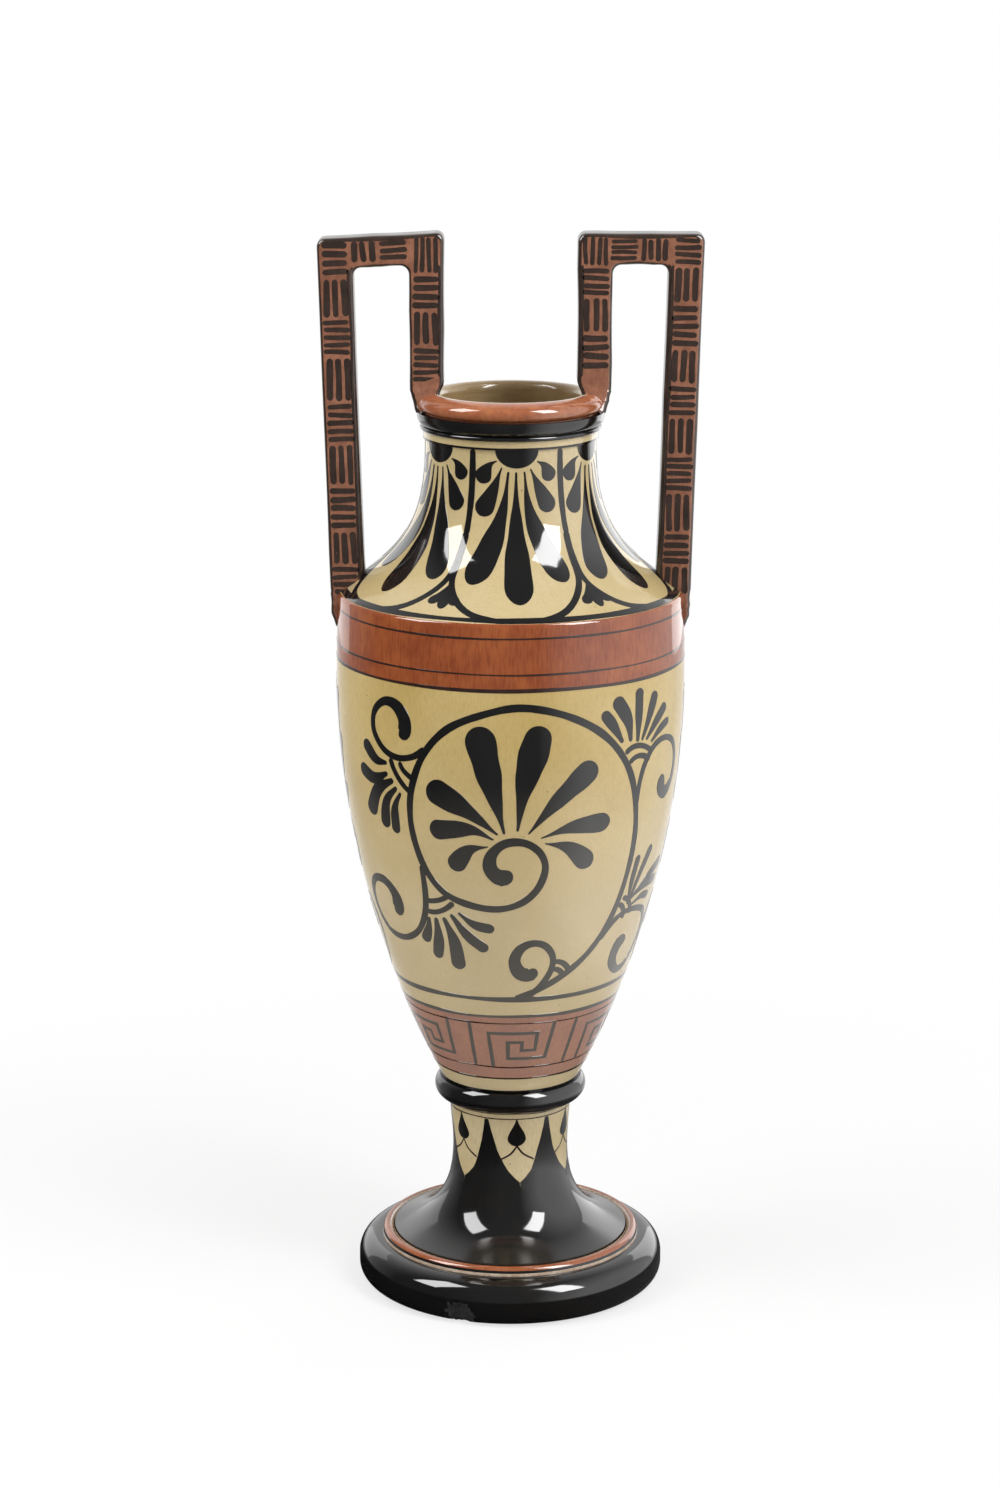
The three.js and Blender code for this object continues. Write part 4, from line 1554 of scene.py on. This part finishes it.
@dataclass
class ScrollPanel:
    """The great scroll with its palmette, painted on the front and again on the back.

    Places are (angle in degrees, height in mm).
    """

    line_width: float = 3.6
    volute_width: float = 3.3
    band_width: float = 2.9
    leaf_growth: float = 1.25

    def scroll(self) -> list[Mark]:
        """The main stem, which rises from the field's foot, rounds the palmette and curls in below it."""
        stem = ((2, 155.4), (14, 160.6), (25.3, 167.7), (34.8, 176.7), (41.8, 188.5), (46, 202.1),
                (48.4, 220), (48.2, 238), (44.5, 258.5), (38, 274), (28.5, 286.5), (16, 295.3),
                (3, 298.8), (-9, 295.5), (-20.5, 288.1), (-29, 275.5), (-34.4, 259), (-36.1, 244),
                (-34.8, 230), (-31, 217.2), (-24, 207.8), (-13, 203.2), (-3.5, 202.6), (4.5, 206),
                (10, 213), (12.2, 222.5), (10, 230.4), (4.6, 235.3), (-2, 235), (-6.6, 229.5),
                (-7.2, 222.6), (-3.6, 218.2), (0.6, 220.4))
        return [Mark(stem, self.line_width, Touch.HOOK)]

    def palmette(self) -> list[Mark]:
        """Eight petals that fan out over the scroll's inner curl."""
        petals = (
            (((-2.2, 239.6), (-6.4, 263), (-10.9, 290.0)), 14.4),
            (((2.2, 241.0), (4.4, 262), (9.8, 290.3)), 13.8),
            (((-4.4, 239.2), (-15.0, 250.4), (-28.4, 260.6)), 12.2),
            (((5.9, 239.6), (15, 254), (28.5, 271.0)), 11.2),
            (((-5.8, 236.8), (-14, 241.2), (-28.5, 239.4)), 10.4),
            (((10.2, 237.4), (21, 241.6), (35.6, 242.3)), 9.2),
            (((-7.7, 233.4), (-14.8, 231), (-21.2, 221.2)), 9.0),
            (((11.6, 234.8), (20.6, 231.6), (29.4, 221.8)), 9.6),
        )
        return [Mark(places, width, Touch.PETAL) for places, width in petals]

    def volutes(self) -> list[Mark]:
        """The five side curls that leave the scroll."""
        curls = (
            ((-28.6, 277.6), (-33.6, 273), (-40.1, 271.4), (-46.1, 274.3), (-50.3, 282), (-49.6, 291),
             (-44.8, 296.6), (-39.6, 295.6), (-36.4, 289.7), (-36.6, 283.6), (-38.6, 281.6)),
            ((-33.4, 221), (-33.6, 205.1), (-35.9, 194.2), (-41, 185.8), (-49.5, 180.9), (-59.2, 181.6),
             (-66.2, 188.6), (-67.4, 199), (-62.5, 206.9), (-54.6, 207.8), (-49.6, 202),
             (-49.6, 195.4), (-51.8, 193)),
            ((47.0, 246), (47.8, 257), (49.9, 266), (54.6, 273.4), (61.4, 275.2), (68.2, 271.2), (71.7, 262),
             (70.4, 252.6), (65.4, 248), (61.6, 251.4), (61.6, 257.6)),
            ((39.0, 182), (45.4, 190), (51.4, 193.2), (60.5, 192.6), (69, 188.4), (72.4, 179.6),
             (70.4, 169.4), (64.4, 163), (57, 162.4), (51.4, 168.6), (52.6, 176.6), (57.5, 178.4)),
            ((6.6, 155.6), (13.2, 161.4), (17.4, 169), (18.0, 176.4), (14.6, 182.6), (9.4, 184.7),
             (4.2, 182.2), (1.6, 175.8), (3.8, 169.6), (8.4, 168.2), (10.6, 171.4)),
        )
        return [Mark(places, self.volute_width, Touch.HOOK) for places in curls]

    def calyxes(self) -> list[Mark]:
        """The small bands that bind each curl to the scroll."""
        bands = (
            ((-43.0, 270.4), (-40.2, 262.4), (-35.4, 255.8)),
            ((-38.9, 269.8), (-37.6, 266), (-34.0, 262.6)),
            ((-33.9, 203.5), (-28.4, 204.4), (-23.4, 207.7)),
            ((-34.1, 198.2), (-28.0, 199.0), (-21.9, 204.2)),
            ((40.1, 273.2), (45.8, 275.6), (52.9, 271.6)),
            ((42.1, 268.2), (46.8, 270.6), (52.2, 267.4)),
            ((48.2, 201.4), (53.0, 197.6), (55.0, 191.6)),
            ((46.4, 198.4), (49.8, 195.2), (50.6, 190.0)),
            ((18.0, 174.2), (22.4, 173.4), (26.2, 169.2)),
            ((18.4, 170.2), (21.0, 169.8), (23.2, 167.4)),
        )
        return [Mark(bow(*places), self.band_width) for places in bands]

    def leaves(self) -> list[Mark]:
        """The pointed leaves that fan out of each calyx."""
        fans = (
            (((-44.6, 267.6), (-50.4, 268.4), (-56.0, 275.6)), 5.0),
            (((-44.6, 262.9), (-52, 258.8), (-59.6, 262.4)), 5.4),
            (((-42.3, 260.2), (-50.6, 253.4), (-56.0, 240.6)), 6.2),
            (((-41.0, 257.0), (-46.4, 249), (-48.4, 236.0)), 5.0),
            (((-39.4, 254.8), (-42.6, 246.6), (-43.2, 234.4)), 4.2),
            (((-33.4, 195.2), (-34.6, 189), (-37.6, 181.8)), 4.2),
            (((-30.2, 195.4), (-30.4, 185), (-32.6, 174.2)), 4.9),
            (((-26.8, 196.2), (-23.4, 184), (-22.8, 169.8)), 5.6),
            (((-23.6, 198.2), (-17.4, 188), (-9.6, 180.8)), 4.8),
            (((-20.4, 199.4), (-14, 193.8), (-6.4, 191.9)), 4.0),
            (((38.8, 278.6), (34.6, 287.4), (30.6, 294.2)), 4.6),
            (((42.3, 278.3), (40.6, 289), (35.4, 299.8)), 5.6),
            (((45.4, 277.4), (45.6, 288), (45.8, 302.4)), 4.6),
            (((47.5, 277.6), (50.6, 287), (54.2, 299.0)), 4.2),
            (((49.6, 277.2), (54.6, 284.4), (60.6, 291.4)), 4.0),
            (((52.4, 275.6), (57.4, 280.4), (63.2, 283.4)), 3.6),
            (((51.8, 197.0), (51.8, 209), (53.2, 221.0)), 3.4),
            (((52.4, 197.6), (56.4, 211), (61.6, 223.6)), 3.6),
            (((53.0, 199.0), (64, 207.4), (76.0, 212.4)), 4.2),
            (((53.4, 200.0), (63.4, 203.6), (74.0, 203.8)), 4.0),
            (((54.8, 195.8), (62, 198.2), (69.0, 197.0)), 3.2),
        )
        return [Mark(places, self.leaf_growth * width, Touch.LEAF, stem=1.5) for places, width in fans]

    def build(self, bench: Bench, wall: ThrownWall) -> None:
        """Paints the panel on the front and, half a turn on, on the back."""
        groups = {"great_scroll": self.scroll() + self.volutes(), "great_palmette": self.palmette(),
                  "scroll_calyxes": self.calyxes(), "scroll_leaves": self.leaves()}
        for face, turned in (("front", 0.0), ("back", 180.0)):
            for name, marks in groups.items():
                patch = Patch.joined(mark.lay(wall, turned) for mark in marks)
                bench.put(f"{face}_{name}", patch, (SHEENED_BLACK,))


@dataclass
class SidePalmette:
    """The upright palmette that fills the field under each handle."""

    centres: tuple[float, float] = (-90.0, 94.0)

    def marks(self) -> list[Mark]:
        """One half of the motif with its middle strokes; the other half is its mirror image."""
        return [
            Mark(((0.6, 155.6), (9, 159), (16.2, 167), (18.6, 179), (15.4, 190.4), (9.6, 193.0), (6.0, 187.2),
                  (8.6, 180.6), (12.2, 180.4)), 2.7, Touch.HOOK),
            Mark(((2.0, 214.0), (5.4, 208), (9.2, 208), (11.0, 216), (9.2, 225.4), (6.0, 226.0),
                  (5.2, 219.4)), 2.2, Touch.HOOK),
            Mark(((1.2, 196), (1.4, 205), (2.4, 214)), 1.9),
            Mark(((2.0, 238.6), (4.6, 262), (8.4, 293.0)), 7.6, Touch.PETAL),
            Mark(((3.4, 236.0), (7.6, 252), (11.0, 272)), 6.8, Touch.PETAL),
            Mark(((4.4, 233.0), (8.2, 239.6), (11.4, 248)), 5.6, Touch.PETAL),
            Mark(((0.0, 230.4), (3.2, 229), (5.2, 225.6)), 2.2),
        ]

    def build(self, bench: Bench, wall: ThrownWall) -> None:
        """Paints the motif under both handles."""
        for name, centre in zip(("left", "right"), self.centres):
            strokes = [mark.lay(wall, centre, mirrored=flip)
                       for mark in self.marks() for flip in (False, True)]
            middle = about(centre, (0.0, 239.6), (0.0, 265), (0.0, 297.6))
            strokes.append(Mark(middle, 8.8, Touch.PETAL).lay(wall))
            bench.put(f"{name}_side_palmette", Patch.joined(strokes), (SHEENED_BLACK,))


@dataclass
class KeyFret:
    """The running key pattern on the red band above the knop."""

    units: int = 6
    width: float = 1.9

    def build(self, bench: Bench, wall: ThrownWall) -> None:
        """Paints the fret and a bar between its units."""
        key = ((-11.4, 117.2), (-12.4, 136.2), (14.9, 136.2), (14.7, 126.6), (6.6, 126.6), (6.6, 131.2),
               (-1.6, 131.2), (-1.6, 122.0), (22.0, 122.0), (24.0, 141.4))
        bar = ((36.6, 117.2), (37.6, 141.4))
        strokes = []
        for k in range(self.units):
            turned = k * 360 / self.units
            strokes += [Mark(way, self.width, angular=True).lay(wall, turned) for way in (key, bar)]
        bench.put("key_fret", Patch.joined(strokes), (SHEENED_BLACK,))


@dataclass
class BodyRings:
    """The lines that were painted round the body on the wheel: height and width in mm."""

    black: tuple[tuple[float, float], ...] = ((155.0, 2.6), (145.6, 1.9))
    brown: tuple[tuple[float, float], ...] = ((329.9, 1.1), (313.7, 1.0), (306.5, 1.7), (141.6, 0.8),
                                              (116.9, 0.9), (110.2, 1.2))

    def build(self, bench: Bench, wall: ThrownWall) -> None:
        """Paints the field's and the bands' lines."""
        black = [ring_line(wall, height, width, 11 + k) for k, (height, width) in enumerate(self.black)]
        brown = [ring_line(wall, height, width, 41 + k) for k, (height, width) in enumerate(self.brown)]
        bench.put("body_black_lines", Patch.joined(black), (SHEENED_BLACK,))
        bench.put("body_brown_lines", Patch.joined(brown), (BROWN_LINE,))


@dataclass
class NeckTongues:
    """Six tongues round the neck, each with a hanging palmette under a half disc."""

    tongues: int = 6
    centre: float = 4.0
    disc_radius: float = 9.9
    disc_drop: float = 8.2
    top: float = 407.4
    tongue_width: float = 3.3
    divider_width: float = 3.2
    drop_width: float = 5.8
    lobe_width: float = 5.4

    def half_disc(self, wall: ThrownWall, turned: float) -> Patch:
        """Fills the half disc: at a drop d its half width is R times the root of 1 - (d / drop)^2."""
        fall = np.sin(np.linspace(np.pi / 2, 0.02, 22))
        heights = self.top - self.disc_drop * fall
        half = self.disc_radius * np.sqrt(np.clip(1 - fall**2, 0.0004, 1))
        span = half / (wall.radius(heights) * math.radians(1))
        return field_patch(wall, heights, turned - span, turned + span)

    def palmette(self) -> list[Mark]:
        """The hanging petals and the two small leaves, from the tongue's middle."""
        petals = (
            (((-0.6, 397.6), (-0.9, 372), (-0.6, 342.9)), 12.4),
            (((-5.6, 397.8), (-9.6, 379), (-21.8, 350.0)), 11.8),
            (((4.8, 397.8), (8.0, 379), (20.4, 350.6)), 11.4),
            (((-10.0, 399.6), (-15.6, 389.6), (-23.2, 378.0)), 9.2),
            (((8.8, 399.0), (14.8, 390), (21.6, 379.6)), 9.0),
            (((-13.2, 402.6), (-18.6, 400.2), (-24.8, 392.6)), 8.0),
            (((13.2, 402.2), (18.4, 400), (23.6, 393.4)), 7.6),
        )
        return [Mark(places, width, Touch.PETAL, stem=1.0 + width / 9) for places, width in petals]

    def build(self, bench: Bench, wall: ThrownWall) -> None:
        """Paints the discs, petals, the tongues' outlines, the drops between them and the foot's ring."""
        discs, petals, lines, drops = [], [], [], []
        tongue = ((-30.6, 370.5), (-30.9, 359), (-30.4, 351), (-25.6, 344.2), (-18.6, 339.6), (-10.6, 337.6),
                  (-3.0, 337.0), (6.0, 337.4), (14.4, 339.6), (21.4, 344.4), (26.8, 351), (28.4, 359),
                  (29.4, 370.5))
        divider = ((30.2, 407.4), (30.0, 388), (29.6, 369.4))
        drop_centre = 30.0
        for k in range(self.tongues):
            turned = self.centre + k * 360 / self.tongues
            discs.append(self.half_disc(wall, turned))
            petals += [mark.lay(wall, turned) for mark in self.palmette()]
            lines.append(Mark(tongue, self.tongue_width).lay(wall, turned))
            lines.append(Mark(divider, self.divider_width).lay(wall, turned))
            middle = turned + drop_centre
            drop = about(middle, (-0.2, 352.6), (0.0, 347), (0.2, 340.6))
            drops.append(Mark(drop, self.drop_width, Touch.PETAL).lay(wall))
            for side in (-1, 1):
                lobe = about(middle, (0.0, 350.4), (side * 2.6, 345.0), (side * 6.0, 342.4))
                drops.append(Mark(lobe, self.lobe_width, Touch.PETAL).lay(wall))
        ring = ring_line(wall, 337.4, 3.4, 71, 0.1)
        bench.put("neck_half_discs", Patch.joined(discs), (BLACK,))
        bench.put("neck_palmettes", Patch.joined(petals), (BLACK,))
        bench.put("neck_tongue_lines", Patch.joined([*lines, ring]), (BLACK,))
        bench.put("neck_drops", Patch.joined(drops), (BLACK,))


# The studio


WHITE = (1.0, 1.0, 1.0, 1.0)


@dataclass
class Studio:
    """The camera, the softboxes, a white sweep and the room.

    A softbox is given by its azimuth and elevation in degrees, its width and height in metres and its
    power in watts. The first two stand in front, the last two behind the vase.

    A ramp gives the values where it starts and ends, and its levels there. Two go by the distance from
    the vase's axis in metres: how much plain white the camera sees on the floor, and how light the floor
    is in reflections. Three go by a direction's part to the back, to the left and to the right.
    """

    camera_place: tuple[float, float, float] = (-0.0049, -1.6515, 0.675)
    camera_tilt: float = 75.876
    lens: float = 87.45
    floor_size: float = 12.0
    fill: float = 0.48
    boxes: tuple[tuple[float, float, float, float, float], ...] = (
        (-74.0, 43.5, 0.56, 0.95, 12.5), (52.0, 45.0, 0.52, 0.95, 16.5),
        (-146.0, 8.0, 0.8, 1.0, 1.6), (146.0, 8.0, 0.8, 1.0, 3.2),
    )
    box_distance: float = 1.5
    aim_height: float = 0.28
    white_by_distance: Ramp = (0.12, 0.5, 0.7, 1.0)
    light_by_distance: Ramp = (0.15, 0.27, 0.08, 1.0)
    light_behind: Ramp = (0.1, 0.8, 0.12, 1.0)
    light_left: Ramp = (-0.8, -0.25, 0.45, 1.0)
    light_right: Ramp = (0.22, 0.82, 0.0, 1.0)

    def build(self) -> None:
        """Sets up the camera, the lamps, the floor and the world."""
        self.camera()
        self.lamps()
        self.floor()
        self.world()
        bpy.context.scene.view_settings.view_transform = "Standard"

    def camera(self) -> None:
        """Puts the camera where the photograph was taken from."""
        data = bpy.data.cameras.new("camera")
        data.lens = self.lens
        data.clip_start, data.clip_end = 0.01, 100.0
        camera = bpy.data.objects.new("camera", data)
        camera.location = self.camera_place
        camera.rotation_euler = (math.radians(self.camera_tilt), 0.0, 0.0)
        bpy.context.scene.collection.objects.link(camera)
        bpy.context.scene.camera = camera

    def lamps(self) -> None:
        """Hangs the softboxes by azimuth and elevation, each facing the vase's middle."""
        aim = np.array([0.0, 0.0, self.aim_height])
        for k, (azimuth, elevation, width, height, power) in enumerate(self.boxes):
            a, e = math.radians(azimuth), math.radians(elevation)
            out = np.array([math.sin(a) * math.cos(e), -math.cos(a) * math.cos(e), math.sin(e)])
            data = bpy.data.lights.new(f"softbox_{k}", "AREA")
            data.shape = "RECTANGLE"
            data.size, data.size_y = width, height
            data.energy = power
            lamp = bpy.data.objects.new(data.name, data)
            lamp.location = (aim + out * self.box_distance).tolist()
            lamp.rotation_euler = (math.pi / 2 - e, 0.0, a)
            lamp.visible_camera = False
            bpy.context.scene.collection.objects.link(lamp)

    def floor(self) -> None:
        """Lays the white sweep, which keeps the vase's shadow and shows plain white elsewhere."""
        half = self.floor_size / 2
        corners = [(-half, -half, 0), (half, -half, 0), (half, half, 0), (-half, half, 0)]
        mesh = bpy.data.meshes.new("floor")
        mesh.from_pydata(corners, [], [(0, 1, 2, 3)])
        mesh.materials.append(self.sweep())
        floor = bpy.data.objects.new("floor", mesh)
        bpy.context.scene.collection.objects.link(floor)

    def sweep(self) -> bpy.types.Material:
        """Makes the sweep's material.

        The camera sees paper round the vase, for its shadow, and plain white further out. The glaze and the
        lamps' bounced light see the room's level, which falls off close to the foot.

        Returns:
            The material.
        """
        made = bpy.data.materials.new("white_sweep")
        made.use_nodes = True
        tree = made.node_tree
        tree.nodes.clear()
        rays = add(tree, "ShaderNodeLightPath").outputs
        mirrored = maths(tree, "MAXIMUM", rays["Is Glossy Ray"], rays["Is Transmission Ray"])
        place = add(tree, "ShaderNodeTexCoord").outputs["Object"]
        away = add(tree, "ShaderNodeVectorMath", {0: place}, operation="LENGTH").outputs["Value"]
        white_share = ranged(tree, away, *self.white_by_distance)
        seen = maths(tree, "MULTIPLY", rays["Is Camera Ray"], white_share)
        share = maths(tree, "MAXIMUM", seen, mirrored)
        toward = add(tree, "ShaderNodeVectorMath", {0: place}, operation="NORMALIZE").outputs["Vector"]
        clear = ranged(tree, away, *self.light_by_distance)
        dim = maths(tree, "MULTIPLY", self.room_level(tree, toward), clear)
        level = maths(tree, "MAXIMUM", dim, rays["Is Camera Ray"])
        paper = add(tree, "ShaderNodeBsdfDiffuse", {"Color": (0.8, 0.8, 0.8, 1.0)}).outputs[0]
        white = add(tree, "ShaderNodeEmission", {"Color": WHITE, "Strength": level}).outputs[0]
        mixed = add(tree, "ShaderNodeMixShader", {0: share, 1: paper, 2: white}).outputs[0]
        add(tree, "ShaderNodeOutputMaterial", {"Surface": mixed})
        return made

    def room_level(self, tree: Tree, toward: Socket) -> Socket:
        """Tells how light the room is in the vase's reflections.

        It is dark in front, where the camera stands, white behind, half white on the left and light on the
        right.

        Args:
            tree: The floor's or the world's node tree.
            toward: Direction from the vase.

        Returns:
            The level, where 1 is white.
        """
        side = add(tree, "ShaderNodeSeparateXYZ", {"Vector": toward}).outputs
        behind = ranged(tree, side["Y"], *self.light_behind)
        left = ranged(tree, side["X"], *self.light_left)
        right = ranged(tree, side["X"], *self.light_right)
        return maths(tree, "MAXIMUM", maths(tree, "MULTIPLY", behind, left), right)

    def world(self) -> None:
        """Makes the room: white where it is seen, dim in front of the vase for its reflections."""
        world = bpy.data.worlds.new("studio")
        bpy.context.scene.world = world
        world.use_nodes = True
        tree = world.node_tree
        tree.nodes.clear()
        rays = add(tree, "ShaderNodeLightPath").outputs
        level = self.room_level(tree, add(tree, "ShaderNodeTexCoord").outputs["Generated"])
        room, white, fill = (
            add(tree, "ShaderNodeBackground", {"Color": WHITE, "Strength": strength}).outputs[0]
            for strength in (level, 1.0, self.fill))
        seen = maths(tree, "MAXIMUM", rays["Is Camera Ray"], rays["Is Transmission Ray"])
        glossy = add(tree, "ShaderNodeMixShader", {0: rays["Is Glossy Ray"], 1: fill, 2: room}).outputs[0]
        final = add(tree, "ShaderNodeMixShader", {0: seen, 1: glossy, 2: white}).outputs[0]
        add(tree, "ShaderNodeOutputWorld", {"Surface": final})


LEFT_BASKETS = (
    Basket((0.9, 18.2, 34.9, 50.9, 68.0), Lay.ALONG, (4, 3)),
    Basket((0.2, 13.8, 27.0), Lay.ALONG),
    Basket((1.0, 18.0, 36.1, 53.6, 74.3, 93.8, 112.9, 133.6, 149.9, 164.2), Lay.ACROSS),
)
RIGHT_BASKETS = (
    Basket((0.9, 14.9, 28.8, 44.9, 61.8), Lay.ALONG, (4, 3)),
    Basket((-1.6, 11.5, 25.6), Lay.ALONG, (4, 4)),
    Basket((0.9, 14.4, 31.3, 51.9, 67.9, 83.2, 100.4, 117.8, 136.3, 151.9, 165.0), Lay.ACROSS),
)


def main() -> None:
    """Builds the vase from the foot up, paints it and lights it."""
    logging.basicConfig(level=logging.INFO, format="%(name)s %(message)s")
    Studio().build()
    bench = Bench()
    bench.mix()
    Foot().build(bench)
    Stem().build(bench)
    Knop().build(bench)
    body = Body().build(bench)
    neck = ShoulderNeck().build(bench)
    Collar().build(bench)
    Lip().build(bench)
    Handle("left_handle", side=-1.0, bar_drop=2.0, baskets=LEFT_BASKETS, seed=7).build(bench)
    Handle("right_handle", side=1.0, bar_drop=0.2, baskets=RIGHT_BASKETS, seed=8).build(bench)
    ScrollPanel().build(bench, body)
    SidePalmette().build(bench, body)
    KeyFret().build(bench, body)
    BodyRings().build(bench, body)
    NeckTongues().build(bench, neck)
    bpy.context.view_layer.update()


if __name__ == "__main__":
    main()
